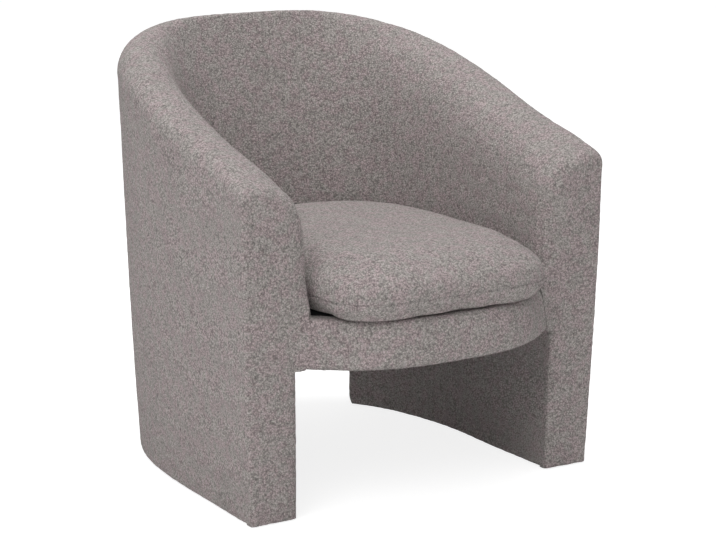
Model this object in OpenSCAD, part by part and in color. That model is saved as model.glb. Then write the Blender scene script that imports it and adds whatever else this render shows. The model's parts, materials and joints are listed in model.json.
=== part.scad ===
// Tub chair: two broad curved leg walls, a bowed padded seat rail, one wrapped arm-and-back pad
// and a loose seat cushion. Millimetres, +Z up, +X to the sitter's left hand as seen from the front.
// The origin is on the floor, in the middle of the whole chair.
// A station w runs round the wall: millimetres along the straight right side (minus at the front),
// then degrees round the curved back from 0 to 180, then millimetres past 180 on the left side.
// A depth u is measured inwards from the outside fabric, and z is the height above the floor.

/* [Overall] */
// Half of the outside width at the floor
half_w = 340; // [280:1:420]
// Depth of the curved back half, behind the straight sides, at the floor
back_reach = 504; // [400:1:600]
// Length of the straight sides in front of the curve, at the floor
side_run = 190; // [150:1:280]
// Height from which the rim starts to rise, reached a little in front of the arms
arm_h = 568; // [520:1:620]
// Height at which the rim levels out, a little behind the back
back_h = 783; // [700:1:860]

/* [Wall] */
// Thickness of the leg walls, fabric to fabric
wall_t = 82; // [72:1:100]
// Thickness of the upholstery fabric with its backing
cover_t = 2; // [1:0.5:3]
// Thickness of the fibre wadding under the outside fabric
wadding_t = 9; // [5:1:12]
// Thickness of the hardboard skins
panel_t = 3; // [2:0.5:4]
// Depth of the plywood ribs and posts across the wall
frame_w = 42; // [30:1:45]
// Thickness of the plywood ribs
rib_t = 18; // [12:1:24]
// Width of a post along the wall
post_w = 45; // [30:1:60]
// Angle at which the leg walls end at the back
leg_end_angle = 52; // [30:1:60]
// Height of the glides under the leg walls
glide_h = 3; // [2:1:12]
// Radius of a glide
glide_r = 12; // [8:1:16]

/* [Seat] */
// Height of the seat deck that the cushion lies on
deck_h = 345; // [320:1:390]
// Height of the seat rail under the deck
rail_h = 87; // [80:1:110]
// How far the seat rail bows out in front of the arms
rail_bow = 97; // [40:1:110]
// Thickness of the padding and skin in front of the rail's plywood
rail_pad = 28; // [20:1:34]
// Thickness of the deck foam
deck_foam_t = 18; // [12:1:20]
// Thickness of the felt over the springs
felt_t = 2; // [1:0.5:4]
// Thickness of the dust cover under the seat
dust_t = 0.8; // [0.5:0.1:1.5]
// Diameter of the spring wire
wire_d = 3.6; // [3:0.1:4]
// Number of seat springs
spring_count = 5; // [3:1:6]

/* [Pads] */
// Depth of the arm from the outside fabric to the inside fabric at the deck
arm_pad = 126; // [115:1:150]
// The same depth at the middle of the back
back_pad = 185; // [140:1:200]
// Depth of the arm's front at the underside of the seat rail
pad_low = 104; // [90:1:115]
// Depth that the arm tapers towards at the rim
arm_top = 118; // [95:1:125]
// Depth that the back tapers towards at the rim
back_top = 103; // [90:1:125]
// Radius of the rim's outer edge at the arms
edge_r = 30; // [14:1:36]
// The same radius at the middle of the back
back_edge_r = 88; // [40:1:90]
// Thickness of the foam over the inner edge of the top rail
top_pad = 14; // [10:1:18]
// Depth of the fabric lip below the rim's rounded outer edge, down to its outside seam
lip = 8; // [6:1:23]
// Depth of the padded facing on the front of each arm
facing_t = 20; // [16:1:28]
// Height of the plywood top rail
top_rail_h = 40; // [30:1:60]
// Angle of the upright seams of the inside back
back_seam_angle = 35; // [25:5:55]

/* [Cushion] */
// Space between the cushion and each arm
arm_gap = 3.5; // [2:0.5:12]
// Space between the cushion and the back
back_gap = 4.5; // [3:0.5:20]
// Reach of the cushion's front half, ahead of its widest line
cushion_front = 205; // [170:1:215]
// Distance of that widest line in front of the start of the curve
cushion_side = 100; // [60:1:140]
// Thickness of the cushion at its edge
cushion_edge = 54; // [48:1:80]
// Rise of the crown above the edge
cushion_crown = 54; // [15:1:60]
// Height of the seam between the top panel and the border, above the deck
border_seam = 30; // [24:1:45]
// Thickness of the fibre wrap round the cushion's foam
wrap_t = 12; // [6:1:20]
// Length of the zip, measured across the back of the cushion
zip_w = 220; // [120:1:230]

/* [Hidden] */
// Exponent of the rounded back outline, where 2 is an ellipse
plan_power = 2.7;
// Outward lean of the side and back, and forward lean of the arm fronts, for each unit of height
lean_share = 0.033;
front_lean_share = 0.030;
// Where the rim's rise starts ahead of the sides and how far it runs, as shares of the side and depth
rise_lead_share = 0.70;
rise_span_share = 1.30;
// Exponents of the inside shoulder at the arms and at the back
arm_shoulder = 7.6;
back_shoulder = 3.0;
// Exponents of the seat rail's bow and of the cushion's rear and front outlines
bow_power = 2.9;
rear_power = 2.9;
front_power = 3.4;
crown_power = 4.5;
// Angle between the stations round the back, and steps along each straight side
arc_angle = 5;
run_steps = 4;
stop_margin = 1;
// Space between neighbouring pieces, and the overrun of a cut
gap = 0.3;
over = 1;

// Depths of the layers of the wall
wadding_u = cover_t + gap;
panel_u = wadding_u + wadding_t + gap;
frame_u = panel_u + panel_t + gap;
inner_panel_u = frame_u + frame_w + gap;
inner_wadding_u = inner_panel_u + panel_t + gap;
inner_cover_u = wall_t - cover_t;
// The posts stand this much inside the ribs, because the hardboard curves round them
post_inset = 2;

// Heights of the layers of the legs and the seat
rail_z = deck_h - rail_h;
leg_bottom = glide_h;
base_z = leg_bottom + cover_t + gap;
lower_rib_z = rail_z + 2 * cover_t;
spacer_z = lower_rib_z + rib_t;
clip_t = 1.2;
clip_w = 18;
clip_d = 12;
spring_rise = wire_d + 2 * clip_t + gap;
upper_rib_z = deck_h - cover_t - 3 * gap - deck_foam_t - felt_t - spring_rise - rib_t;
felt_z = upper_rib_z + rib_t + spring_rise + gap;
deck_foam_z = felt_z + felt_t + gap;
deck_cloth_z = deck_h - cover_t;
facing_w = -side_run + facing_t + gap;
rail_in = rail_pad + gap;
rail_rib_in = rail_in + panel_t + gap;
rail_hem = rail_rib_in + frame_w / 3;
end_pad = 8;
end_t = end_pad + cover_t + gap;
leg_in = leg_end_angle - end_t / arc_rate(leg_end_angle);

// The whole chair is centred between the front of the cushion and the back of the rim
back_edge = back_reach + lean_share * (rim(90) - back_edge_r);
front_edge = cushion_side + cushion_front;
center_y = (back_edge - front_edge) / 2;

fabric = "#8b8483";
plywood = "#c9a877";
hardboard = "#8a6440";
foam = "#e9e2c4";
fibre = "#f1f0ec";
steel = "#8f9296";
black = "#2b2b2d";

// Outline of the wall: a superellipse behind the straight sides
function arc_point(a) = [half_w * sign(cos(a)) * pow(abs(cos(a)), 2 / plan_power),
    back_reach * pow(abs(sin(a)), 2 / plan_power)];
function arc_normal(a) = let (
        nx = sign(cos(a)) * pow(abs(cos(a)), 2 - 2 / plan_power) / half_w,
        ny = pow(abs(sin(a)), 2 - 2 / plan_power) / back_reach)
    [nx, ny] / norm([nx, ny]);
function arc_rate(a) = norm(arc_point(a + 0.5) - arc_point(a - 0.5));
function foot(w) = w < 0 ? [half_w, w] : w > 180 ? [-half_w, 180 - w] : arc_point(w);
function facing(w) = w <= 0 ? [1, 0] : w >= 180 ? [-1, 0] : arc_normal(w);

// Point of the wall at station w, depth u and height z
function at(w, u, z) = let (
        p = foot(w),
        n = facing(w),
        out = lean_share * z - u,
        y = p.y < 0 ? p.y * (1 + front_lean_share * z / side_run) : p.y)
    [p.x + n.x * out, y + n.y * out, z];

// Height of the rim: a smooth rise from the arms to the back
function ease(t) = let (c = max(0, min(1, t))) c * c * (3 - 2 * c);
function rim(w) = arm_h + (back_h - arm_h) * ease((foot(w).y + side_run * (1 + rise_lead_share))
    / (rise_span_share * (side_run + back_reach)));

// Share of the way from the arms (0) to the middle of the back (1)
function backness(w) = pow(sin(max(0, min(180, w))), 2);

// Stations from w0 to w1, with the regular ones between them
function stops(w0, w1) = let (all = concat(
        [for (k = [run_steps:-1:1]) -side_run * k / run_steps],
        [for (a = [0:arc_angle:180]) a],
        [for (k = [1:run_steps]) 180 + side_run * k / run_steps]))
    concat([w0], [for (a = all) if (a > w0 + stop_margin && a < w1 - stop_margin) a], [w1]);

function ring(w, outer, inner) = [for (p = concat(outer, inner)) at(w, p[0], p[1])];
function flip(list) = [for (k = [len(list) - 1:-1:0]) list[k]];

// Closed solid through rings of points: each ring is an outer chain and an inner chain of one length
module strip(rings) {
    n = len(rings[0]) / 2;
    m = len(rings);
    function a(i, j) = i * 2 * n + j;
    function b(i, j) = a(i, j) + n;
    sides = [for (i = [0:m - 2]) for (j = [0:n - 2]) each [
        [a(i, j), a(i + 1, j + 1), a(i + 1, j)], [a(i, j), a(i, j + 1), a(i + 1, j + 1)],
        [b(i, j), b(i + 1, j), b(i + 1, j + 1)], [b(i, j), b(i + 1, j + 1), b(i, j + 1)]]];
    edges = [for (i = [0:m - 2]) each [
        [a(i, 0), a(i + 1, 0), b(i + 1, 0)], [a(i, 0), b(i + 1, 0), b(i, 0)],
        [a(i, n - 1), b(i + 1, n - 1), a(i + 1, n - 1)], [a(i, n - 1), b(i, n - 1), b(i + 1, n - 1)]]];
    caps = [for (j = [0:n - 2]) each [
        [b(0, j), b(0, j + 1), a(0, j + 1)], [b(0, j), a(0, j + 1), a(0, j)],
        [b(m - 1, j), a(m - 1, j + 1), b(m - 1, j + 1)], [b(m - 1, j), a(m - 1, j), a(m - 1, j + 1)]]];
    polyhedron([for (r = rings) each r], concat(sides, edges, caps), convexity = 8);
}

// Closed solid through rings that are plain loops, capped at both ends or joined end to end
module loft(rings, closed = false) {
    k = len(rings[0]);
    m = len(rings);
    last = closed ? m - 1 : m - 2;
    function q(i, j) = (i % m) * k + j % k;
    sides = [for (i = [0:last]) for (j = [0:k - 1]) each [
        [q(i, j), q(i + 1, j + 1), q(i, j + 1)], [q(i, j), q(i + 1, j), q(i + 1, j + 1)]]];
    caps = closed ? [] : [for (j = [1:k - 2]) each [
        [q(0, 0), q(0, j), q(0, j + 1)], [q(m - 1, 0), q(m - 1, j + 1), q(m - 1, j)]]];
    polyhedron([for (r = rings) each r], concat(sides, caps), convexity = 8);
}

// A layer of the wall between two depths, from a height up to the height that a function gives
module layer(w0, w1, u0, u1, z0, top_at) {
    strip([for (w = stops(w0, w1)) let (
            top = top_at(w),
            levels = [z0, (z0 + top) / 2, top])
        ring(w, [for (z = levels) [u0, z]], [for (z = levels) [u1, z]])]);
}

// A layer of a leg wall between two depths and two heights
module leg_layer(w0, w1, u0, u1, z0, z1) {
    strip([for (w = stops(w0, w1)) ring(w, [[u0, z0], [u0, z1]], [[u1, z0], [u1, z1]])]);
}

module mirrored() {
    mirror([1, 0, 0]) children();
}

module both() {
    children();
    mirrored() children();
}

module centered() {
    translate([0, -center_y, 0]) children();
}

// Section of the arm and back from the outside lip over the rim to the deck, d under the fabric
rim_angles = [0, 18, 36, 54, 72, 90];
shoulder_angles = [75, 60, 45, 30, 15, 0];
function seat_depth(w) = arm_pad + (back_pad - arm_pad) * backness(w);
function top_depth(w) = arm_top + (back_top - arm_top) * backness(w);
function edge(w) = edge_r + (back_edge_r - edge_r) * backness(w);
function shoulder_power(w) = arm_shoulder + (back_shoulder - arm_shoulder) * backness(w);
function shoulder_point(w, d, b) = let (
        s = pow(sin(b), 2 / shoulder_power(w)),
        z0 = deck_h + gap,
        depth = seat_depth(w) + (top_depth(w) - seat_depth(w)) * s - d)
    [edge(w) + (depth - edge(w)) * cos(b), z0 + s * (rim(w) - d - z0)];
function rim_point(w, d, a) = let (r = edge(w)) [r - (r - d) * cos(a), rim(w) - r + (r - d) * sin(a)];
function lip_z(w) = rim(w) - edge(w) - lip;
function roll(w, d) = concat([[d, lip_z(w)]], [for (a = rim_angles) rim_point(w, d, a)],
    [for (b = shoulder_angles) shoulder_point(w, d, b)]);

// Height of the fabric over depth u
function fabric_z(w, u) = let (r = edge(w))
    u < r ? rim(w) - r + sqrt(r * r - pow(r - u, 2))
        : deck_h + pow(sin(acos((u - r) / (top_depth(w) - r))), 2 / shoulder_power(w)) * (rim(w) - deck_h);

// Height of the wooden wall's top, so low that the pad covers both of its edges
function crest(w) = min(fabric_z(w, panel_u), fabric_z(w, inner_wadding_u)) - top_pad;
under_crest = function(w) crest(w) - gap;
under_lip = function(w) lip_z(w) - gap;

// The same path along the wooden wall that the pad wraps
across_shares = [0, 0.2, 0.4, 0.6, 0.8, 1];
down_shares = [0.9, 0.75, 0.6, 0.45, 0.25, 0];
function core_path(w) = let (
        u0 = panel_u - gap,
        u1 = inner_wadding_u,
        top = crest(w),
        z0 = deck_h + gap)
    concat([[u0, lip_z(w)]], [for (s = across_shares) [u0 + (u1 - u0) * s, top]],
        [for (s = down_shares) [u1, z0 + (top - z0) * s]]);

module roll_cover(w0, w1) {
    strip([for (w = stops(w0, w1)) ring(w, roll(w, 0), roll(w, cover_t))]);
}

module roll_pad(w0, w1) {
    strip([for (w = stops(w0, w1)) ring(w, roll(w, cover_t + gap), core_path(w))]);
}

// Front facing of an arm: full section from the floor to the rim, drawn in by d outside and e inside
level_shares = [0.35, 0.65];
function facing_outer(w, d) = let (top = rim(w) - edge_r, z0 = deck_h)
    concat([[d, leg_bottom + d], [d, rail_z], [d, rail_z + rib_t], [d, z0]],
        [for (s = level_shares) [d, z0 + (top - z0) * s]],
        [for (a = [0, 30, 60, 90]) rim_point(w, d, a)]);
function facing_inner(w, d, e) = concat(
    [[wall_t - d, leg_bottom + d], [wall_t - d, rail_z + d], [pad_low - e, rail_z + d],
        [seat_depth(w) - e, deck_h]],
    [for (b = [15, 30, 45, 60, 70, 80]) shoulder_point(w, d + (e - d) * cos(b), b)]);
facing_turns = [90, 60, 30, 0];
facing_turn_share = 0.9;
facing_outer_r = 5;
facing_inner_r = 26;
function facing_ring(a, d) = let (
        w = -side_run + d + (facing_t - d) * (1 - sin(a)) * facing_turn_share)
    ring(w, facing_outer(w, d + facing_outer_r * (1 - cos(a))),
        facing_inner(w, d + facing_outer_r * (1 - cos(a)), d + facing_inner_r * (1 - cos(a))));
function facing_end(d) = let (w = -side_run + facing_t)
    ring(w, facing_outer(w, d), facing_inner(w, d, d));

module facing_cover() {
    strip(concat([for (a = facing_turns) facing_ring(a, 0)], [facing_end(0), facing_end(cover_t)],
        flip([for (a = facing_turns) facing_ring(a, cover_t)])));
}

module facing_pad() {
    strip(concat([for (a = facing_turns) facing_ring(a, cover_t + gap)], [facing_end(cover_t + gap)]));
}

// Seat rail: x follows a share k across the front, and q runs back from its fabric
function rail_half(z) = half_w + lean_share * z - gap
    - pad_low - (arm_pad - pad_low) * (z - rail_z) / (deck_h - rail_z);
function bow(k) = rail_bow * (1 - pow(abs(k), bow_power));
function rail_point(k, q, z) = [k * rail_half(z), -side_run - front_lean_share * z - bow(k) + q, z];
rail_steps = 24;
rail_step_power = 0.7;
function rail_shares() = [for (i = [-rail_steps / 2:rail_steps / 2])
    sign(i) * pow(abs(i) * 2 / rail_steps, rail_step_power)];

// Section of the rail's fabric, d under the surface, as shares of its height and padding
rail_section_shares = [[0.5, 0], [0.22, 0.04], [0.05, 0.17], [0, 0.4], [0, 0.68], [0.09, 0.88],
    [0.3, 0.98], [0.6, 1]];
function rail_section(d) = let (h = deck_h - rail_z) concat([[rail_hem, rail_z + d]],
    [for (s = rail_section_shares) [d + s[0] * (rail_pad - d), rail_z + d + s[1] * (h - 2 * d)]],
    [[rail_hem, deck_h - d]]);
function rail_face(d) = [for (p = rail_section(d)) if (p[0] < rail_pad - gap) p];
function rail_back(d) = let (n = len(rail_face(d)), z0 = rail_z + d, h = deck_h - rail_z - 2 * d)
    [for (j = [0:n - 1]) [rail_pad, z0 + h * j / (n - 1)]];

module rail_shell(outer, inner) {
    strip([for (k = rail_shares()) concat([for (p = outer) rail_point(k, p[0], p[1])],
        [for (p = inner) rail_point(k, p[0], p[1])])]);
}

// Flat plate of the seat at height z: depth u at the walls, q behind the rail's fabric, and t thick
function seat_front(u, q, z, t) = let (xw = half_w + lean_share * z - u, y0 = at(facing_w, u, z).y)
    [for (k = rail_shares()) let (p = rail_point(k, q + front_lean_share * t, z + t))
        if (abs(p.x) < xw) [p.x, abs(k) < 1 ? p.y : max(p.y, y0)]];
function seat_outline(u, q, z, t) = concat(
    [for (w = stops(facing_w, 180 - facing_w)) let (p = at(w, u, z)) [p.x, p.y]], seat_front(u, q, z, t));
module seat_plate(u, q, z, t) {
    translate([0, 0, z]) linear_extrude(t) polygon(seat_outline(u, q, z, t));
}

// Posts stand in the wall at a station, follow its lean and are cut level at both ends
module post(w, z0, z1, across = post_w) {
    p = foot(w);
    n = facing(w);
    intersection() {
        translate([p.x, p.y, 0])
            rotate([0, 0, atan2(n.y, n.x)])
                rotate([0, atan(lean_share), 0])
                    translate([-frame_u - frame_w, -across / 2, z0 - post_w])
                        cube([frame_w - post_inset, across, z1 - z0 + 2 * post_w]);
        translate([-2 * half_w, -2 * back_reach, z0])
            cube([4 * half_w, 4 * back_reach, z1 - z0]);
    }
}
front_post_w = facing_w + post_w / 2 + gap;
// Height of a level post top under the sloping top rail
function post_top(w) = let (
        half = post_w / 2 + gap,
        turn = half / arc_rate(max(1, min(179, w))),
        low = w < 0 ? crest(w - half) : min(crest(w - turn), crest(w + turn)))
    low - 2 * gap - top_rail_h;

last_leg_w = leg_in - post_w / arc_rate(leg_in);
leg_stations = [front_post_w, -side_run / 4, last_leg_w / 2, last_leg_w];
arm_stations = [front_post_w, -side_run / 4, 16];
back_stations = [38, 51, 129, 142];

// Wooden frame
module leg_plan(u0, u1, z0, z1, t) {
    w0 = facing_w;
    translate([0, 0, z0]) linear_extrude(t) difference() {
        polygon(concat([for (w = stops(w0, leg_in)) let (p = at(w, u0, z0)) [p.x, p.y]],
            flip([for (w = stops(w0, leg_in)) let (p = at(w, u1, z1)) [p.x, p.y]])));
        for (w = leg_stations) glide_spot(w) circle(nail_r + gap, $fn = 24);
    }
}

module base_ribs() {
    color(plywood) centered() both() leg_plan(frame_u, frame_u + frame_w, base_z, base_z + rib_t, rib_t);
}

module leg_posts() {
    color(plywood) centered() both() for (w = leg_stations) post(w, base_z + rib_t, lower_rib_z);
}

module seat_rib(z) {
    difference() {
        seat_plate(frame_u, rail_rib_in, z, rib_t);
        translate([0, 0, z - over]) linear_extrude(rib_t + 2 * over) polygon(rib_hole(z));
        rib_spots() translate([0, 0, z - over])
            cylinder(r = screw_r + gap / 2, h = rib_t + 2 * over, $fn = 24);
    }
}

// The opening inside a seat rib: parallel to the wall, with a bowed front edge
rib_hole_share = 0.93;
function rib_hole(z) = let (u = frame_u + frame_w, front = -side_run + facing_t + post_w)
    concat([for (w = stops(front, 180 - front)) let (p = at(w, u, z)) [p.x, p.y]],
        [for (k = rail_shares()) let (p = rail_point(k * rib_hole_share, rail_rib_in + frame_w, z))
            [p.x, min(p.y, front - gap)]]);

module lower_seat_rib() {
    color(plywood) centered() seat_rib(lower_rib_z);
}

module upper_seat_rib() {
    color(plywood) centered() seat_rib(upper_rib_z);
}

// Where the blocks between the ribs and their screws stand: down each side, and between the springs
// at the front and the back
spacer_stations = [-side_run / 2, 28, 45];
spacer_inset = 8;
spacer_d = frame_w - 2 * spacer_inset;
screw_r = 2.5;
screw_head_r = 5;
screw_head_h = 3;
module rib_spots() {
    both() for (w = spacer_stations) let (p = at(w, frame_u + frame_w / 2, spacer_z), n = facing(w))
        translate([p.x, p.y, 0]) rotate([0, 0, atan2(n.y, n.x)]) children();
    for (i = [1:spring_count - 1]) let (x = (spring_x(i - 1) + spring_x(i)) / 2)
        for (y = [spring_front(x), spring_back(x)]) translate([x, y, 0]) children();
}

module rib_spacers() {
    h = upper_rib_z - spacer_z;
    color(plywood) centered() rib_spots() translate([0, 0, spacer_z]) difference() {
        translate([-spacer_d / 2, -spacer_d / 2, 0]) cube([spacer_d, spacer_d, h]);
        translate([0, 0, -over]) cylinder(r = screw_r + gap / 2, h = h + 2 * over, $fn = 24);
    }
}

module rib_screws() {
    z1 = upper_rib_z + rib_t;
    color(steel) centered() rib_spots() {
        translate([0, 0, lower_rib_z]) cylinder(r = screw_r, h = z1 - lower_rib_z, $fn = 24);
        translate([0, 0, z1]) cylinder(r = screw_head_r, h = screw_head_h, $fn = 32);
    }
}

// Triangular blocks that brace the lower seat rib behind the front posts
block_leg = 60;
module corner_blocks() {
    front = -side_run + facing_t + post_w + gap;
    x = half_w - frame_u - frame_w - gap + lean_share * lower_rib_z;
    color(plywood) centered() both() translate([x, front, lower_rib_z]) linear_extrude(rib_t)
        polygon([[0, 0], [0, block_leg], [-block_leg, 0]]);
}

module arm_posts() {
    color(plywood) centered() both() for (w = arm_stations) post(w, upper_rib_z + rib_t, post_top(w));
}

module back_posts() {
    color(plywood) centered() for (w = back_stations) post(w, upper_rib_z + rib_t, post_top(w));
}

module top_rail(w0, w1) {
    strip([for (w = stops(w0, w1)) let (z1 = crest(w) - gap, z0 = z1 - top_rail_h, u1 = frame_u + frame_w)
        ring(w, [[frame_u, z0], [frame_u, z1]], [[u1, z0], [u1, z1]])]);
}

module right_arm_rail() {
    color(plywood) centered() top_rail(facing_w, back_seam_angle);
}

module left_arm_rail() {
    color(plywood) centered() mirrored() top_rail(facing_w, back_seam_angle);
}

module back_top_rail() {
    color(plywood) centered() top_rail(back_seam_angle, 180 - back_seam_angle);
}

// Hardboard skins outside and inside the frame
module side_panel() {
    layer(facing_w, leg_in, panel_u, panel_u + panel_t, base_z, under_crest);
}

module right_outer_panel() {
    color(hardboard) centered() side_panel();
}

module left_outer_panel() {
    color(hardboard) centered() mirrored() side_panel();
}

module back_outer_panel() {
    color(hardboard) centered()
        layer(leg_in, 180 - leg_in, panel_u, panel_u + panel_t, lower_rib_z, under_crest);
}

module leg_inner_panels() {
    color(hardboard) centered() both() leg_layer(facing_w, leg_in, inner_panel_u, inner_panel_u + panel_t,
        base_z, lower_rib_z - gap);
}

module inner_panel(w0, w1) {
    layer(w0, w1, inner_panel_u, inner_panel_u + panel_t, deck_h + gap, under_crest);
}

module right_inner_panel() {
    color(hardboard) centered() inner_panel(facing_w, back_seam_angle);
}

module left_inner_panel() {
    color(hardboard) centered() mirrored() inner_panel(facing_w, back_seam_angle);
}

module back_inner_panel() {
    color(hardboard) centered() inner_panel(back_seam_angle, 180 - back_seam_angle);
}

module front_rail_panel() {
    z1 = upper_rib_z + rib_t;
    color(hardboard) centered() rail_shell([[rail_in, lower_rib_z], [rail_in, z1]],
        [[rail_in + panel_t, lower_rib_z], [rail_in + panel_t, z1]]);
}

// Seat suspension: flat zigzag springs from front to back, held in clips on the upper rib
spring_pitch = 26;
spring_half = 14;
spring_span_share = 0.45;
spring_z = upper_rib_z + rib_t + clip_t + gap + wire_d / 2;
function spring_x(i) = spring_span_share * half_w * (2 * i / (spring_count - 1) - 1);
function spring_front(x) =
    rail_point(x / rail_half(upper_rib_z), rail_rib_in + frame_w / 2, upper_rib_z).y;
function spring_back(x) = let (inset = frame_u + frame_w / 2 - lean_share * upper_rib_z)
    (back_reach - inset) * pow(1 - pow(abs(x) / (half_w - inset), plan_power), 1 / plan_power);
function spring_turns(x) = 2 * floor((spring_back(x) - spring_front(x)) / spring_pitch / 2);

// One spring seen from above: rungs across it, joined by half rings at alternate ends
module spring_outline(x) {
    y0 = spring_front(x);
    turns = spring_turns(x);
    step = (spring_back(x) - y0) / turns;
    for (i = [0:turns]) translate([x - spring_half, y0 + i * step - wire_d / 2])
        square([2 * spring_half, wire_d]);
    for (i = [0:turns - 1]) let (side = i % 2 == 0 ? 1 : -1)
        translate([x + side * spring_half, y0 + (i + 0.5) * step]) difference() {
            circle(d = step + wire_d, $fn = 32);
            circle(d = step - wire_d, $fn = 32);
            translate([side < 0 ? 0 : -step, -step]) square([step, 2 * step]);
        }
}

module spring(x) {
    translate([0, 0, spring_z - wire_d / 2]) linear_extrude(wire_d) spring_outline(x);
}

module seat_springs() {
    color(steel) centered() for (i = [0:spring_count - 1]) spring(spring_x(i));
}

module spring_clip() {
    channel = wire_d + 2 * gap;
    translate([-clip_w / 2, -clip_d / 2, 0]) difference() {
        cube([clip_w, clip_d, spring_rise]);
        translate([-over, (clip_d - channel) / 2, clip_t]) cube([clip_w + 2 * over, channel, channel]);
    }
}

module spring_clips() {
    color(steel) centered() for (i = [0:spring_count - 1]) let (x = spring_x(i))
        for (y = [spring_front(x), spring_back(x)]) translate([x, y, upper_rib_z + rib_t]) spring_clip();
}

// Seat deck
module spring_felt() {
    color(fibre) centered() seat_plate(inner_panel_u, rail_rib_in, felt_z, felt_t);
}

module deck_foam() {
    color(foam) centered() seat_plate(inner_panel_u, rail_in, deck_foam_z, deck_foam_t);
}

module deck_cloth() {
    color(black) centered() seat_plate(inner_panel_u, rail_hem + gap, deck_cloth_z, cover_t);
}

module dust_cover() {
    z = lower_rib_z - dust_t;
    side = [for (w = stops(facing_w, leg_in)) let (p = at(w, wall_t + gap, z)) [p.x, p.y]];
    color(black) centered() translate([0, 0, z]) linear_extrude(dust_t) polygon(concat(side,
        [for (w = stops(leg_in, 180 - leg_in)) let (p = at(w, frame_u, z)) [p.x, p.y]],
        flip([for (p = side) [-p.x, p.y]]),
        [for (k = rail_shares()) let (p = rail_point(k, rail_hem + gap, z)) [p.x, p.y]]));
}

// Soft layers
module side_wadding() {
    layer(facing_w, leg_in, wadding_u, wadding_u + wadding_t, base_z, under_lip);
}

module right_outer_wadding() {
    color(fibre) centered() side_wadding();
}

module left_outer_wadding() {
    color(fibre) centered() mirrored() side_wadding();
}

module back_outer_wadding() {
    color(fibre) centered()
        layer(leg_in, 180 - leg_in, wadding_u, wadding_u + wadding_t, lower_rib_z, under_lip);
}

module leg_inner_wadding() {
    color(fibre) centered() both()
        leg_layer(facing_w, leg_in, inner_wadding_u, inner_cover_u - gap, base_z, lower_rib_z - gap);
}

module leg_end_pads() {
    w0 = leg_in + gap / arc_rate(leg_end_angle);
    w1 = leg_end_angle - (cover_t + gap) / arc_rate(leg_end_angle);
    color(foam) centered() both()
        leg_layer(w0, w1, wadding_u, inner_cover_u - gap, base_z, rail_z - gap);
}

module right_arm_pad() {
    color(foam) centered() roll_pad(facing_w, back_seam_angle);
}

module left_arm_pad() {
    color(foam) centered() mirrored() roll_pad(facing_w, back_seam_angle);
}

module inside_back_pad() {
    color(foam) centered() roll_pad(back_seam_angle, 180 - back_seam_angle);
}

module right_facing_pad() {
    color(foam) centered() facing_pad();
}

module left_facing_pad() {
    color(foam) centered() mirrored() facing_pad();
}

module rail_foam() {
    color(foam) centered() rail_shell(rail_face(cover_t + gap), rail_back(cover_t + gap));
}

// Fabric
module side_cover() {
    layer(facing_w, leg_in, 0, cover_t, leg_bottom, under_lip);
}

module right_outer_cover() {
    color(fabric) centered() side_cover();
}

module left_outer_cover() {
    color(fabric) centered() mirrored() side_cover();
}

module back_outer_cover() {
    color(fabric) centered() layer(leg_in, 180 - leg_in, 0, cover_t, rail_z, under_lip);
}

module leg_inner_covers() {
    color(fabric) centered() both()
        leg_layer(facing_w, leg_in, inner_cover_u, wall_t, leg_bottom, lower_rib_z - gap);
}

module leg_end_covers() {
    w0 = leg_end_angle - cover_t / arc_rate(leg_end_angle);
    color(fabric) centered() both() leg_layer(w0, leg_end_angle, 0, wall_t, leg_bottom, rail_z - gap);
}

module leg_bottom_covers() {
    color(fabric) centered() both()
        leg_plan(wadding_u, inner_cover_u - gap, leg_bottom, leg_bottom, cover_t);
}

module right_arm_cover() {
    color(fabric) centered() roll_cover(facing_w, back_seam_angle);
}

module left_arm_cover() {
    color(fabric) centered() mirrored() roll_cover(facing_w, back_seam_angle);
}

module inside_back_cover() {
    color(fabric) centered() roll_cover(back_seam_angle, 180 - back_seam_angle);
}

module right_facing_cover() {
    color(fabric) centered() facing_cover();
}

module left_facing_cover() {
    color(fabric) centered() mirrored() facing_cover();
}

module rail_cover() {
    color(fabric) centered() rail_shell(rail_section(0), rail_section(cover_t));
}

// Glides: a plastic disc under the fabric, with a nail up into the base rib
nail_r = 1.5;
nail_h = 14;
module glide_spot(w) {
    p = at(w, frame_u + frame_w / 2, leg_bottom);
    translate([p.x, p.y]) children();
}

module glides() {
    color(black) centered() both() for (w = leg_stations) glide_spot(w) {
        cylinder(r = glide_r, h = glide_h, $fn = 48);
        translate([0, 0, glide_h]) cylinder(r = nail_r, h = nail_h, $fn = 24);
    }
}

// Seat cushion: its outline has a rounded rear and a squarer front, joined by short straight sides
cushion_angle = 9;
cushion_w = half_w + lean_share * deck_h - arm_pad - arm_gap;
cushion_rear = back_reach + lean_share * deck_h - back_pad - back_gap;
cushion_z = deck_h + gap;
cushion_mid = (cushion_rear - cushion_side - cushion_front) / 2;
function rear_point(t, i) = [(cushion_w - i) * sign(cos(t)) * pow(abs(cos(t)), 2 / rear_power),
    (cushion_rear - i) * pow(sin(t), 2 / rear_power)];
function front_point(t, i) = [-(cushion_w - i) * sign(cos(t)) * pow(abs(cos(t)), 2 / front_power),
    -cushion_side - (cushion_front - i) * pow(sin(t), 2 / front_power)];
function outline(i) = concat([for (t = [0:cushion_angle:180]) rear_point(t, i)],
    [for (t = [0:cushion_angle:180]) front_point(t, i)]);
function cushion_ring(k, i, z) = [for (p = outline(i))
    [k * p.x, cushion_mid + k * (p.y - cushion_mid), z]];

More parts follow.
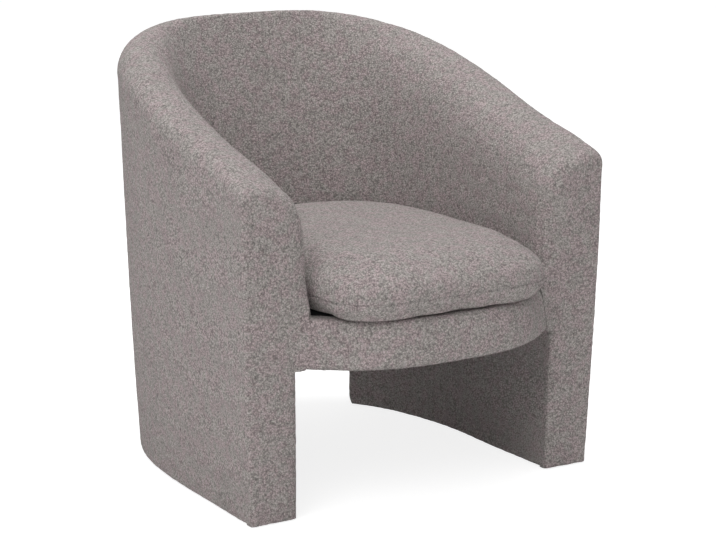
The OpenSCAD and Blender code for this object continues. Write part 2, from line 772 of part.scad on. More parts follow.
// The side swells between its seams: v is the share of its height, and d the depth under the fabric
draw_in = 14;
belly_share = 0.4;
draw_power = 2.2;
top_draw_share = 0.6;
thin_share = 0.8;
function draw(v) = draw_in * (v < belly_share ? pow((belly_share - v) / belly_share, draw_power)
    : top_draw_share * pow((v - belly_share) / (1 - belly_share), draw_power));
function side_ring(v, d, rise) = cushion_ring(1, draw(v) + d,
    cushion_z + rise + v * (cushion_edge - rise - thin_share * d));
function crown_ring(k, d) = cushion_ring(k, draw(1) + d, cushion_z + cushion_edge - thin_share * d
    + (cushion_crown - (1 - thin_share) * d) * (1 - pow(k, crown_power)));
side_shares = [0.07, 0.22, 0.4, 0.74, 0.9, 1];
crown_shares = [0.93, 0.84, 0.72, 0.57, 0.4, 0.2];
hem_share = 0.07;
near_share = 0.02;
seam_share = border_seam / cushion_edge;
ring_shares = concat([for (v = side_shares) if (v < seam_share - near_share) v], [seam_share],
    [for (v = side_shares) if (v > seam_share + near_share) v]);
function sides(v0, v1, d, rise) = concat([side_ring(v0, d, rise)],
    [for (v = ring_shares) if (v > v0 + near_share && v < v1 - near_share) side_ring(v, d, rise)],
    [side_ring(v1, d, rise)]);
function upper(v0, d, rise) = concat(sides(v0, 1, d, rise), [for (k = crown_shares) crown_ring(k, d)]);
flat_share = 0.1;
function base(d) = [cushion_ring(flat_share, draw_in + d, cushion_z + d), side_ring(0, d, d),
    side_ring(hem_share, d, d)];

module cushion_foam() {
    color(foam) centered() loft(upper(0, cover_t + wrap_t + 2 * gap, cover_t + gap));
}

module cushion_wrap() {
    d0 = cover_t + gap;
    color(fibre) centered() difference() {
        loft(concat(flip(upper(0, d0 + wrap_t, d0)), upper(0, d0, d0)));
        zip_slot();
    }
}

module cushion_top_cover() {
    color(fabric) centered()
        loft(concat(flip(upper(seam_share, cover_t, cover_t)), upper(seam_share, 0, 0)));
}

module cushion_border() {
    v0 = hem_share + gap / cushion_edge;
    v1 = seam_share - gap / cushion_edge;
    color(fabric) centered() difference() {
        loft(concat(flip(sides(v0, v1, cover_t, cover_t)), sides(v0, v1, 0, 0)), closed = true);
        zip_slot();
    }
}

module cushion_bottom_cover() {
    color(fabric) centered() loft(concat(base(0), flip(base(cover_t))));
}

// Zip in the rear of the border: a curved tape in a slot, and a slider with its pull
zip_sink = 5;
zip_tape_h = 22;
zip_tape_t = 1;
zip_body_t = 2.6;
zip_body_h = 11;
zip_body_w = 9;
zip_pull_t = 1;
zip_pull_h = 15;
zip_pull_w = 5;
zip_stop = 12;
// The zip's curve goes through the middle of the rear outline and meets it again at the zip's ends
zip_sag = cushion_rear * (1 - pow(1 - pow(zip_w / 2 / cushion_w, rear_power), 1 / rear_power));
zip_r = (pow(zip_w / 2, 2) + pow(zip_sag, 2)) / (2 * zip_sag);
zip_center_y = cushion_rear - zip_sink - zip_r;
zip_height_share = 0.56;
zip_z = cushion_z + border_seam * zip_height_share;
zip_turn = asin(zip_w / 2 / zip_r);
function zip_angle(l) = l / zip_r * 180 / PI;
module zip_ring(r0, r1, z0, z1, from, to) {
    translate([0, zip_center_y, 0]) rotate([0, 0, 90 + from])
        rotate_extrude(angle = to - from, $fn = 360) translate([r0, z0]) square([r1 - r0, z1 - z0]);
}

module zip_slot() {
    h = zip_tape_h / 2 + gap;
    a = zip_turn + zip_angle(gap);
    zip_ring(zip_r - zip_tape_t - gap, zip_r + wrap_t + cover_t, zip_z - h, zip_z + h, -a, a);
}

module zip_tape() {
    h = zip_tape_h / 2;
    color(black) centered() zip_ring(zip_r - zip_tape_t, zip_r, zip_z - h, zip_z + h, -zip_turn, zip_turn);
}

module zip_slider() {
    r0 = zip_r + gap;
    r1 = r0 + zip_body_t;
    a0 = -zip_turn + zip_angle(zip_stop);
    body = zip_angle(zip_body_w) / 2;
    pull = zip_angle(zip_pull_w) / 2;
    pull_z = zip_z + zip_body_h / 3;
    color(steel) centered() {
        zip_ring(r0, r1, zip_z - zip_body_h / 2, zip_z + zip_body_h / 2, a0 - body, a0 + body);
        zip_ring(r1 - zip_pull_t / 2, r1 + zip_pull_t / 2, pull_z - zip_pull_h, pull_z,
            a0 - pull, a0 + pull);
    }
}

glides();
base_ribs();
leg_posts();
lower_seat_rib();
rib_spacers();
upper_seat_rib();
rib_screws();
corner_blocks();
arm_posts();
back_posts();
right_arm_rail();
left_arm_rail();
back_top_rail();
right_outer_panel();
left_outer_panel();
back_outer_panel();
leg_inner_panels();
right_inner_panel();
left_inner_panel();
back_inner_panel();
front_rail_panel();
seat_springs();
spring_clips();
spring_felt();
deck_foam();
deck_cloth();
dust_cover();
right_outer_wadding();
left_outer_wadding();
back_outer_wadding();
leg_inner_wadding();
leg_end_pads();
right_arm_pad();
left_arm_pad();
inside_back_pad();
right_facing_pad();
left_facing_pad();
rail_foam();
right_outer_cover();
left_outer_cover();
back_outer_cover();
leg_inner_covers();
leg_end_covers();
leg_bottom_covers();
right_arm_cover();
left_arm_cover();
inside_back_cover();
right_facing_cover();
left_facing_cover();
rail_cover();
cushion_foam();
cushion_wrap();
cushion_top_cover();
cushion_border();
cushion_bottom_cover();
zip_tape();
zip_slider();
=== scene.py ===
import json
import math
import bmesh
import bpy
import numpy as np
from mathutils import Matrix


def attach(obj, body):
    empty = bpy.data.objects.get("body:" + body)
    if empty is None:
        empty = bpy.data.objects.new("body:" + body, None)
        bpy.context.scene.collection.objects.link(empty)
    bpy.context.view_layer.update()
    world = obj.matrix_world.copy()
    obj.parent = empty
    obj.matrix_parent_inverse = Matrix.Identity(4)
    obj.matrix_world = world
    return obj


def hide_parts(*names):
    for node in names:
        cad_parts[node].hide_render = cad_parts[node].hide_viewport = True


# Tub chair in looped wool-like fabric. Shapes are worked out in millimetres, as the frame was drawn,
# with y = 0 where the side walls start to curve; place() turns them into the frame's metres.

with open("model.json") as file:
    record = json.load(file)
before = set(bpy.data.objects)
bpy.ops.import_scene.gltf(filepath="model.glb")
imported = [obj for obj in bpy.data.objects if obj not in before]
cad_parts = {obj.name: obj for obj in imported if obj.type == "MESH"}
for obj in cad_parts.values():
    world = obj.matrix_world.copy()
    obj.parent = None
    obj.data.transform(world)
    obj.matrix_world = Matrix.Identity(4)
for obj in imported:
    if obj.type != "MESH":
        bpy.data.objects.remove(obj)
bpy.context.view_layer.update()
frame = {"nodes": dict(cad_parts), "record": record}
nodes = frame["nodes"]
scene = bpy.context.scene
joined = np.concatenate
print("frame loaded")

wall = {
    "halfWidth": 340, "backReach": 504, "sideRun": 190, "armHeight": 568, "backHeight": 783,
    "outlinePower": 2.7, "lean": 0.033, "frontLean": 0.030, "riseLead": 0.70, "riseSpan": 1.30,
    "thickness": 82, "legBottom": 1.4, "legEndAngle": 52.4, "legEndDepth": 13.5, "centreY": 110.898,
    "skinDepth": 11.3, "coreOuter": 11.6, "coreInner": 60.5, "belly": 2.5, "frontDrop": 12,
    "legFoot": 86, "legTop": 91, "dropSpan": (100, 200),
}
pads = {
    "deckHeight": 345, "railBottom": 258, "armDepth": 126, "backDepth": 185, "lowDepth": 104,
    "armTop": 118, "backTop": 103, "armEdge": 30, "backEdge": 88, "frontEdge": 17, "lip": 8,
    "facing": 20.3, "topFoam": 14, "armShoulder": 7.6, "backShoulder": 3.0, "deckGap": 0.3,
    "edgeSpan": (60, 185),
}
fabric = {"step": 3.2, "nub": 0.42, "nubSize": 6.5, "wave": 1.1, "waveSize": 130, "seed": 11,
          "grooveWidth": 1.1, "dipWidth": 13, "seamRows": (0.8, 2.2), "sharpAngle": 62}


# The wall's outline

# Station w: millimetres along the right side when minus, degrees round the back from 0 to 180,
# then millimetres past 180. The back is a superellipse, |x/a|^n + |y/b|^n = 1.
def footAndNormal(w):
    a = np.radians(np.clip(w, 0, 180))
    c, s = np.cos(a), np.sin(a)
    k = 2 / wall["outlinePower"]
    x = wall["halfWidth"] * np.sign(c) * np.abs(c) ** k
    y = wall["backReach"] * np.abs(s) ** k
    y = np.where(w < 0, w, np.where(w > 180, 180 - w, y))
    nx = np.sign(c) * np.abs(c) ** (2 - k) / wall["halfWidth"]
    ny = np.abs(s) ** (2 - k) / wall["backReach"]
    size = np.hypot(nx, ny)
    flat = (w <= 0) | (w >= 180)
    return x, y, np.where(flat, np.sign(x), nx / size), np.where(flat, 0.0, ny / size)


# A point at station w, depth u under the outside and height z: the foot moved along the normal by
# lean * z - u + belly * sin(pi z / height), with the fronts of the arms leaning forward. The belly
# fades out over the thickness of the wall.
def wallPoint(w, u, z):
    w, u, z = np.broadcast_arrays(w, u, z)
    x, y, nx, ny = footAndNormal(w)
    y = np.where(y < 0, y * (1 + wall["frontLean"] * z / wall["sideRun"]), y)
    belly = wall["belly"] * np.sin(np.pi * np.clip(z / wall["armHeight"], 0, 1))
    out = wall["lean"] * z - u + belly * np.clip(1 - u / wall["thickness"], 0, 1)
    return np.stack([x + nx * out, y + ny * out, z], axis=-1)


# Height of the rim: a smooth rise 3t^2 - 2t^3 from the arms to the back, and a droop at the fronts
def rimHeight(w):
    w = np.asarray(w, float)
    y = footAndNormal(w)[1]
    t = (y + wall["sideRun"] * (1 + wall["riseLead"])) / (
        wall["riseSpan"] * (wall["sideRun"] + wall["backReach"]))
    rise = (wall["backHeight"] - wall["armHeight"]) * smooth(t, 0, 1)
    return wall["armHeight"] + rise - wall["frontDrop"] * smooth(-w, *wall["dropSpan"])


def backShare(w):  # 0 at the arms, 1 in the middle of the back
    return np.sin(np.radians(np.clip(w, 0, 180))) ** 2


def between(a, b, share):
    return a + (b - a) * share


# 0 below low, 1 above high and 3t^2 - 2t^3 between
def smooth(x, low, high):
    t = np.clip((x - low) / (high - low), 0, 1)
    return t * t * (3 - 2 * t)


# Depth of a leg wall at height z, a little more at the seat than at the floor
def legDepth(z):
    return between(wall["legFoot"], wall["legTop"], np.asarray(z, float) / pads["railBottom"])


# Radius of the rim's outer edge: wide at the back, and tighter towards the fronts of the arms
def edgeRadius(w):
    wide = between(pads["armEdge"], pads["backEdge"], backShare(w))
    return wide - (pads["armEdge"] - pads["frontEdge"]) * smooth(-np.asarray(w, float), *pads["edgeSpan"])


def lipHeight(w):
    return rimHeight(w) - edgeRadius(w) - pads["lip"]


# Length run along a line, at each of its points
def runAlong(x, y):
    return joined([[0], np.cumsum(np.hypot(np.diff(x), np.diff(y)))])


# Millimetres along the wall and stations, as one table
tableW = joined([np.linspace(-wall["sideRun"], 0, 96), np.linspace(0, 180, 2881)[1:],
                 180 + np.linspace(0, wall["sideRun"], 96)[1:]])
tableS = runAlong(*footAndNormal(tableW)[:2])


def along(w):
    return np.interp(w, tableW, tableS)


def station(s):
    return np.interp(s, tableS, tableW)


# Even steps over a length, with two close rows at each seamed end; the first end may be plain
def seamedSteps(length, first=True):
    near, far = fabric["seamRows"]
    lead, tail = [0, near, far] if first else [0], [length - far, length - near, length]
    count = max(1, round((tail[0] - lead[-1]) / fabric["step"]))
    return joined([lead, np.linspace(lead[-1], tail[0], count + 1)[1:-1], tail])


# How far a seam draws the fabric in: a narrow groove and a wide soft dip, both bell curves
def seamDip(distance, groove, dip=0.0):
    return (groove * np.exp(-(distance / fabric["grooveWidth"]) ** 2)
            + dip * np.exp(-(distance / fabric["dipWidth"]) ** 2))


def place(points):
    return (points - np.array([0, wall["centreY"], 0])) / 1000


# Value noise on a lattice of the given size: hashed corners, blended by 3t^2 - 2t^3, from -1 to 1
def softNoise(points, size, seed):
    p = points / size
    cell = np.floor(p).astype(np.int64)
    t = p - cell
    t = t * t * (3 - 2 * t)
    total = np.zeros(len(points))
    for corner in range(8):
        bits = np.array([corner & 1, corner >> 1 & 1, corner >> 2 & 1])
        c = cell + bits
        h = (c[:, 0] * 73856093) ^ (c[:, 1] * 19349663) ^ (c[:, 2] * 83492791) ^ (seed * 2654435761)
        h = ((h ^ (h >> 13)) * 1274126177) & 0xffffffff
        h = (h ^ (h >> 16)) & 0xffff
        total += (h / 32767.5 - 1) * np.prod(np.where(bits == 1, t, 1 - t), axis=1)
    return total


# Meshes

# Quads between neighbouring points of a grid; wrapped joins the last column to the first
def gridFaces(rows, columns, wrapped=False):
    i = np.arange(rows - 1)[:, None]
    j = np.arange(columns if wrapped else columns - 1)[None, :]
    k = (j + 1) % columns
    quad = np.stack(np.broadcast_arrays(i * columns + j, i * columns + k,
                                        (i + 1) * columns + k, (i + 1) * columns + j), axis=-1)
    return quad.reshape(-1, 4).tolist()


def addValues(mesh, layers):
    for label, values in layers.items():
        if values is not None:
            layer = mesh.attributes.new(label, "FLOAT", "POINT")
            layer.data.foreach_set("value", np.asarray(values, np.float32).ravel())


# Puts points (millimetres) and faces into a mesh. skin is 1 where the fabric shows and 0 inside.
# Doubles are merged, faces turned outwards, and the fabric gets its waves and nubs along the normals:
# lift = wave * noise(waveSize) + nub * noise(nubSize) - sink
def makePiece(name, points, faces, skin=None, sink=None, relief=1.0):
    mesh = bpy.data.meshes.new(name)
    mesh.from_pydata(place(points).tolist(), [], faces)
    addValues(mesh, {"skin": skin, "sink": sink})
    piece = bpy.data.objects.new(name, mesh)
    scene.collection.objects.link(piece)
    tidyMesh(mesh)
    if skin is not None:
        raiseFabric(mesh, relief)
    return piece


def tidyMesh(mesh):
    b = bmesh.new()
    b.from_mesh(mesh)
    bmesh.ops.remove_doubles(b, verts=b.verts, dist=2e-6)
    bmesh.ops.dissolve_degenerate(b, edges=b.edges, dist=1e-6)
    bmesh.ops.recalc_face_normals(b, faces=b.faces)
    b.to_mesh(mesh)
    b.free()
    mesh.shade_smooth()
    mesh.update()


def fetched(source, key, size, kind=np.float32):
    values = np.empty(size, kind)
    source.foreach_get(key, values)
    return values


def readPoints(mesh):
    return fetched(mesh.vertices, "co", len(mesh.vertices) * 3).reshape(-1, 3).astype(float)


def writePoints(mesh, points):
    mesh.vertices.foreach_set("co", points.astype(np.float32).ravel())
    mesh.update()


# Normals of the points from the fabric's own faces, so that it meets its neighbours flush at a seam
def skinNormals(mesh, skin):
    faces = mesh.polygons
    start, total = (fetched(faces, key, len(faces), np.int32) for key in ("loop_start", "loop_total"))
    corners = fetched(mesh.loops, "vertex_index", len(mesh.loops), np.int32)
    normal = fetched(mesh.polygon_normals, "vector", len(faces) * 3).reshape(-1, 3)
    summed = np.zeros((len(mesh.vertices), 3))
    for size in (3, 4):
        chosen = np.flatnonzero(total == size)
        used = corners[start[chosen, None] + np.arange(size)]
        shown = skin[used].min(axis=1) > 0.02
        for column in range(size):
            np.add.at(summed, used[shown, column], normal[chosen[shown]])
    length = np.linalg.norm(summed, axis=1, keepdims=True)
    return summed / np.maximum(length, 1e-9)


def readValues(mesh, label):
    if label not in mesh.attributes:
        return np.zeros(len(mesh.vertices))
    return fetched(mesh.attributes[label].data, "value", len(mesh.vertices)).astype(float)


def raiseFabric(mesh, relief=1.0):
    co, skin = readPoints(mesh), readValues(mesh, "skin")
    no = skinNormals(mesh, skin)
    mm = co * 1000
    lift = (fabric["wave"] * softNoise(mm, fabric["waveSize"], fabric["seed"])
            + relief * fabric["nub"] * softNoise(mm, fabric["nubSize"], fabric["seed"] + 1)
            + relief * fabric["nub"] * 0.7 * softNoise(mm, fabric["nubSize"] * 1.9, fabric["seed"] + 2))
    lift = lift * skin - readValues(mesh, "sink")
    writePoints(mesh, co + no * lift[:, None] / 1000)
    mesh.set_sharp_from_angle(angle=math.radians(fabric["sharpAngle"]))


# Closed loops carried along the wall, with a flat end on each: rings are rows of the grid
def tubeFaces(rows, columns):
    first = list(range(columns))
    last = [(rows - 1) * columns + j for j in range(columns - 1, -1, -1)]
    return gridFaces(rows, columns, True) + [first, last]


# The face that closes a grid along its first and last columns
def sideLoop(rows, columns):
    return [i * columns for i in range(rows)] + [i * columns + columns - 1 for i in range(rows - 1, -1, -1)]


def mirrored(points):
    return points * np.array([-1, 1, 1])


# A piece whose rows of points are closed loops; flip puts it on the chair's other side
def tubePiece(name, points, skin=None, sink=None, relief=1.0, flip=False):
    if flip:
        points = mirrored(points)
    return makePiece(name, points.reshape(-1, 3), tubeFaces(*points.shape[:2]), skin, sink, relief)


# Shader graphs

def mathsBy(operation):
    return lambda wire, other: wire.maths(operation, other)


# A socket that can stand in sums: each operator adds its Math node
class Wire:
    def __init__(self, graph, socket):
        self.graph, self.socket = graph, socket

    def maths(self, operation, *others):
        return self.graph.node("Math", {"operation": operation}, [self, *others])

    def __rsub__(self, other):
        return self.graph.node("Math", {"operation": "SUBTRACT"}, [other, self])

    __add__ = __radd__ = mathsBy("ADD")
    __sub__ = mathsBy("SUBTRACT")
    __mul__ = __rmul__ = mathsBy("MULTIPLY")
    __truediv__ = mathsBy("DIVIDE")

    # 0 below low, 1 above high, smooth between
    def ramped(self, low, high):
        return self.graph.node("MapRange", {"interpolation_type": "SMOOTHSTEP"},
                               {"Value": self, "From Min": low, "From Max": high})


class Graph:
    def __init__(self, name, store=None):
        self.owner = (bpy.data.materials if store is None else store).new(name)
        self.owner.use_nodes = True
        self.tree = self.owner.node_tree
        self.tree.nodes.clear()

    def node(self, kind, settings, inputs, output=0):
        made = self.tree.nodes.new("ShaderNode" + kind)
        for key, value in settings.items():
            setattr(made, key, value)
        pairs = inputs.items() if isinstance(inputs, dict) else enumerate(inputs)
        for key, value in pairs:
            if isinstance(value, Wire):
                self.tree.links.new(value.socket, made.inputs[key])
            elif value is not None:
                made.inputs[key].default_value = value
        return Wire(self, made.outputs[output]) if len(made.outputs) else None

    def place(self):
        return self.node("TexCoord", {}, {}, "Object")

    def noise(self, where, scale, detail=2.0, roughness=0.5, output="Fac"):
        return self.node("TexNoise", {}, {"Vector": where, "Scale": scale, "Detail": detail,
                                          "Roughness": roughness}, output)

    def cells(self, where, scale, output="Distance", randomness=1.0):
        return self.node("TexVoronoi", {},
                         {"Vector": where, "Scale": scale, "Randomness": randomness}, output)

    def vector(self, operation, *parts):
        return self.node("VectorMath", {"operation": operation}, list(parts))

    def scaled(self, where, amount):
        return self.node("VectorMath", {"operation": "SCALE"}, {"Vector": where, "Scale": amount})

    def stretched(self, where, scale):
        return self.node("Mapping", {}, {"Vector": where, "Scale": scale})

    def mix(self, factor, a, b):
        return self.node("Mix", {"data_type": "RGBA"}, {0: factor, 6: a, 7: b}, 2)

    def bump(self, height, distance, strength=1.0):
        return self.node("Bump", {}, {"Height": height, "Distance": distance, "Strength": strength})

    # 1 for rays straight from the camera or off gloss, else 0
    def direct(self):
        seen = self.node("LightPath", {}, {}, "Is Camera Ray")
        return seen.maths("MAXIMUM", self.node("LightPath", {}, {}, "Is Glossy Ray"))

    def finish(self, **inputs):
        inputs = {key.replace("_", " "): value for key, value in inputs.items()}
        surface = self.node("BsdfPrincipled", {}, inputs)
        self.node("OutputMaterial", {}, {"Surface": surface})
        return self.owner


def rgb(red, green, blue):  # screen values 0 to 255 as linear colour
    values = np.array([red, green, blue]) / 255
    linear = np.where(values <= 0.04045, values / 12.92, ((values + 0.055) / 1.055) ** 2.4)
    return (*[float(v) for v in linear], 1.0)


# Fabric

boucle = {
    "shade": (150, 141, 140), "green": (147, 146, 140), "rose": (156, 140, 141),
    "loop": 0.0029, "strand": 0.0012, "depth": 0.0024, "paintedSeamShade": 0.86,
}


# Looped yarn: warped cells are the loops, finer ones the strands. Height is high in the middle of a
# loop and low between loops. The colour darkens with the height as painted shade between the loops,
# with a random tone for each loop, broad blotches and a soft greenish and rosy drift.
def makeBoucle(name, seamed=False):
    g = Graph(name)
    where = g.place()
    drift = g.scaled(g.noise(where, 270, 2, 0.6, "Color"), 0.0034)
    bent = g.vector("ADD", where, drift)
    loops = g.cells(bent, 1 / boucle["loop"])
    strands = g.cells(bent, 1 / boucle["strand"])
    shadeOfLoop = g.cells(bent, 1 / boucle["loop"], output="Color")
    toneOfLoop = g.node("SeparateColor", {}, {"Color": shadeOfLoop}, 0)
    curls = g.noise(bent, 760, 3, 0.65)
    high = (1 - loops.ramped(0.05, 0.85)) * 0.62 + (1 - strands.ramped(0.0, 0.8)) * 0.26 + curls * 0.3
    patch = g.noise(where, 46, 3, 0.6)
    broad = g.noise(where, 9, 2, 0.5)
    tint = g.mix(patch.ramped(0.42, 0.6), rgb(*boucle["green"]), rgb(*boucle["rose"]))
    base = g.mix(0.55, tint, rgb(*boucle["shade"]))
    # Brightness: low height between the loops is painted shade; the loop's random tone and the broad
    # blotches are the yarn's own
    light = 0.07 + high * 1.12 + toneOfLoop * 0.55 + broad * 0.1
    height = high
    if seamed:
        away = g.node("Attribute", {"attribute_name": "seamAway"}, {}, "Fac")
        crease = away.maths("ABSOLUTE").ramped(0.25, 1.7)
        # Along the seam the colour is darkened as painted shade in the seam's crease, and the bump height
        # dips there too
        light = light * (crease * (1 - boucle["paintedSeamShade"]) + boucle["paintedSeamShade"])
        height = high + crease * 0.8
    colour = g.scaled(base, light)
    return g.finish(Base_Color=colour, Roughness=0.94, Specular_IOR_Level=0.12, Sheen_Weight=0.12,
                    Sheen_Roughness=0.6, Sheen_Tint=(0.9, 0.87, 0.86, 1.0),
                    Normal=g.bump(height, boucle["depth"], 0.85))


boucleCloth = makeBoucle("looped fabric")
boucleSeamed = makeBoucle("looped fabric with seam and painted seam shade", True)


# Dresses a piece: the CAD pieces it stands for, its material and the body it rides on
def settle(piece, stands, material=boucleCloth, body="chair"):
    piece.data.materials.clear()
    piece.data.materials.append(material)
    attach(piece, body)
    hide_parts(*stands)
    print("piece", piece.name, len(piece.data.polygons), "faces")


sides = (("right", False), ("left", True))


# Outside walls

outside = {"bottomRound": 5, "seamGroove": 0.3}


# Loop of the outside fabric with its wadding at one station: up the outside from a rounded bottom
# edge to the lip seam, and straight back down inside
def outsideLoop(w, bottom, steps):
    top = lipHeight(w)
    r, back = outside["bottomRound"], wall["skinDepth"]
    a = np.radians(np.linspace(0, 90, 5))[None, :-1]
    turnU = np.broadcast_to(r * (1 - np.sin(a)), (len(w), a.shape[1]))
    turnZ = np.broadcast_to(bottom + r * (1 - np.cos(a)), turnU.shape)
    faceZ = bottom + r + (top - bottom - r) * steps[None, :]
    innerZ = top + (bottom - top) * np.linspace(0, 1, 5)[None, :]
    u = joined([turnU, faceZ * 0, innerZ * 0 + back], axis=1)
    z = joined([turnZ, faceZ, innerZ], axis=1)
    skin = joined([np.ones(a.shape[1] + len(steps)), np.zeros(5)])
    return u, z, np.broadcast_to(skin, u.shape)


def outsideWall(name, wFrom, wTo, bottom, flip=False):
    s0, s1 = along(wFrom), along(wTo)
    s = s0 + seamedSteps(s1 - s0)
    w = station(s)[:, None]
    tall = float(lipHeight(w).max()) - bottom - outside["bottomRound"]
    u, z, skin = outsideLoop(w, bottom, seamedSteps(tall, first=False) / tall)
    ends = np.minimum(s - s0, s1 - s)[:, None]
    return tubePiece(name, wallPoint(w, u, z), skin, seamDip(ends, outside["seamGroove"]) * skin, flip=flip)


facingW = -wall["sideRun"] + pads["facing"]
legIn = float(station(along(wall["legEndAngle"]) - wall["legEndDepth"]))

for side, flip in sides:
    settle(outsideWall(side + "_outside", facingW, legIn, wall["legBottom"], flip),
           [side + "_outer_cover", side + "_outer_wadding"])
settle(outsideWall("back_outside", legIn, 180 - legIn, pads["railBottom"]),
       ["back_outer_cover", "back_outer_wadding"])


# Arms and inside back

inside = {"seamGroove": 0.8, "seamDip": 0.6, "deckTuck": 3.0, "seamLow": 26, "seamHigh": 41, "ease": 1.8}


# How far in the rounded top reaches at the rim, and its power n, from the arms to the back
def topForm(w):
    share = backShare(w)
    return (between(pads["armTop"], pads["backTop"], share),
            between(pads["armShoulder"], pads["backShoulder"], share))


# Top of the inside at angle b: depth = edge + (reach - edge) cos b, height = (sin b)^(2/n) of the rise
def shoulder(w, b):
    atRim, power = topForm(w)
    s = np.sin(b) ** (2 / power)
    reach = between(between(pads["armDepth"], pads["backDepth"], backShare(w)), atRim, s)
    z0, r = pads["deckHeight"] + pads["deckGap"], edgeRadius(w)
    return r + (reach - r) * np.cos(b), z0 + s * (rimHeight(w) - z0)


# The roll's path: q from 0 to 1 up the lip, to 2 round the rim's edge, to 3 down the inside
def rollPath(w, q):
    top, r = rimHeight(w), edgeRadius(w)
    a = np.radians(90 * np.clip(q - 1, 0, 1))
    b = np.radians(90 * np.clip(3 - q, 0, 1) ** inside["ease"])
    lipZ = top - r - pads["lip"] * (1 - np.clip(q, 0, 1))
    downU, downZ = shoulder(w, np.maximum(b, 1e-9))
    u = np.where(q <= 1, 0, np.where(q <= 2, r - r * np.cos(a), downU))
    z = np.where(q <= 1, lipZ, np.where(q <= 2, top - r + r * np.sin(a), downZ))
    return u, z


# Height of the roll's top above a depth u: the rounded edge, or the shoulder's formula turned round
def topAbove(u, w):
    r, top = edgeRadius(w), rimHeight(w)
    reach, power = topForm(w)
    cosB = np.clip((u - r) / (reach - r), 0, 1)
    inner = pads["deckHeight"] + (1 - cosB ** 2) ** (1 / power) * (top - pads["deckHeight"])
    outer = top - r + np.sqrt(np.clip(r * r - (r - u) ** 2, 0, None))
    return np.where(u < r, outer, inner)


# Height of the wooden wall's top under the roll
def crestHeight(w):
    return np.minimum(topAbove(wall["coreOuter"], w), topAbove(wall["coreInner"], w)) - pads["topFoam"]


# Station of the upright seam at q of the roll's path: it leans back towards the rim
def seamStation(q):
    high = np.sin(np.radians(90 * np.clip(3 - q, 0, 1)))
    return between(inside["seamLow"], inside["seamHigh"], high ** 0.9)


# One stretch of the roll, from a front or a seam to the next, in even steps of its path at wMiddle.
# Six more points close each loop inside.
def rollPiece(name, wMiddle, fromFront, grooves, flip=False):
    fine = np.linspace(0, 3, 3001)
    path = runAlong(*rollPath(np.array(wMiddle, float), fine))
    run = seamedSteps(path[-1])
    q = np.interp(run, path, fine)
    seam = along(seamStation(joined([q, [3, 3, 3, 1, 1, 0]])))[None, :]
    s0 = seam * 0 + along(facingW) if fromFront else seam
    s1 = seam if fromFront else along(180) - seam + along(0)
    even = seamedSteps(float((s1 - s0).mean()))
    s = s0 + (s1 - s0) * (even / even[-1])[:, None]
    w = station(s)
    u, z = rollPath(w[:, :len(q)], q[None, :])
    inner = w[:, len(q):]
    crest, floor = crestHeight(inner), pads["deckHeight"] + pads["deckGap"]
    coreU = np.array([wall["coreInner"]] * 4 + [wall["coreOuter"]] * 2)[None, :]
    coreZ = np.stack([floor + (crest[:, i] - floor) * t for i, t in enumerate((0, 0.35, 0.7, 1))]
                     + [crest[:, 4], lipHeight(inner[:, 5])], axis=1)
    u = joined([u, np.broadcast_to(coreU, coreZ.shape)], axis=1)
    z = joined([z, coreZ], axis=1)
    skin = np.broadcast_to(joined([np.ones(len(q)), np.zeros(6)]), u.shape)
    across = joined([run, np.full(6, 1e3)])[None, :]
    sink = (seamDip(s - s0, *grooves[0]) + seamDip(s1 - s, *grooves[1])
            + seamDip(np.abs(path[-1] - across), inside["deckTuck"]))
    return tubePiece(name, wallPoint(w, u, z), skin, sink * skin, flip=flip)


plainEnd, seamEnd = (0.0, 0.0), (inside["seamGroove"], inside["seamDip"])
for side, flip in sides:
    settle(rollPiece(side + "_arm", 0, True, (plainEnd, seamEnd), flip),
           [side + "_arm_cover", side + "_arm_pad"])
settle(rollPiece("inside_back", 90, False, (seamEnd, seamEnd)),
       ["inside_back_cover", "inside_back_pad"])


# Fronts of the arms

front = {"outerRound": (6, 5), "innerRound": (42, 19), "legRound": (16, 9), "topRound": (18, 11),
         "bottomRound": (6, 5), "columns": 44, "crowding": 0.65, "bandColumns": 7,
         "filletRise": 7, "filletReach": 25, "filletEnd": 2.2}


# Depth of a rounded edge at a distance from it: a quarter ellipse of that width and depth
def rounding(distance, width, depth):
    t = np.clip(1 - distance / width, 0, 1)
    return depth * (1 - np.sqrt(1 - t * t))


# Fillet between the arm's front and the rail, at a distance to the rail's side of their joint:
# rise * (1 + distance / reach)^2, with minus distances on the arm
def fillet(distance):
    near = np.clip(1 + distance / front["filletReach"], 0, front["filletEnd"])
    return np.where(near < front["filletEnd"], front["filletRise"] * near ** 2, 0)


def aboveRail(z):  # 0 below the rail's bottom and 1 above it
    return smooth(z, pads["railBottom"] - 1.5, pads["railBottom"] + 1.5)


# Inside line of the front section: the leg's inner face, a step out under the pad, the pad's slope
def lowerInner(z):
    low, deckZ = pads["railBottom"], pads["deckHeight"]
    return (legDepth(z) + (pads["lowDepth"] - legDepth(z)) * aboveRail(z)
            + (pads["armDepth"] - pads["lowDepth"]) * np.clip((z - low) / (deckZ - low), 0, 1))


# The front section's outer depth, outer height, inner depth and inner height where every point has a
# station of its own: rows for the heights lowZ, then for the angles b of the shoulder
def frontLines(w, lowZ, b, climb):
    low = np.broadcast_to(lowZ[:, None], (len(lowZ), w.shape[1]))
    up = w[len(lowZ):]
    r, a = edgeRadius(up), np.radians(90 * climb)[:, None]
    inU, inZ = shoulder(up, np.maximum(b[:, None], 1e-9))
    outZ = np.where(climb[:, None] > 0, rimHeight(up) - r + r * np.sin(a), inZ)
    return [joined(pair) for pair in
            ((low * 0, r - r * np.cos(a)), (low, outZ), (lowerInner(low), inU), (low, inZ))]


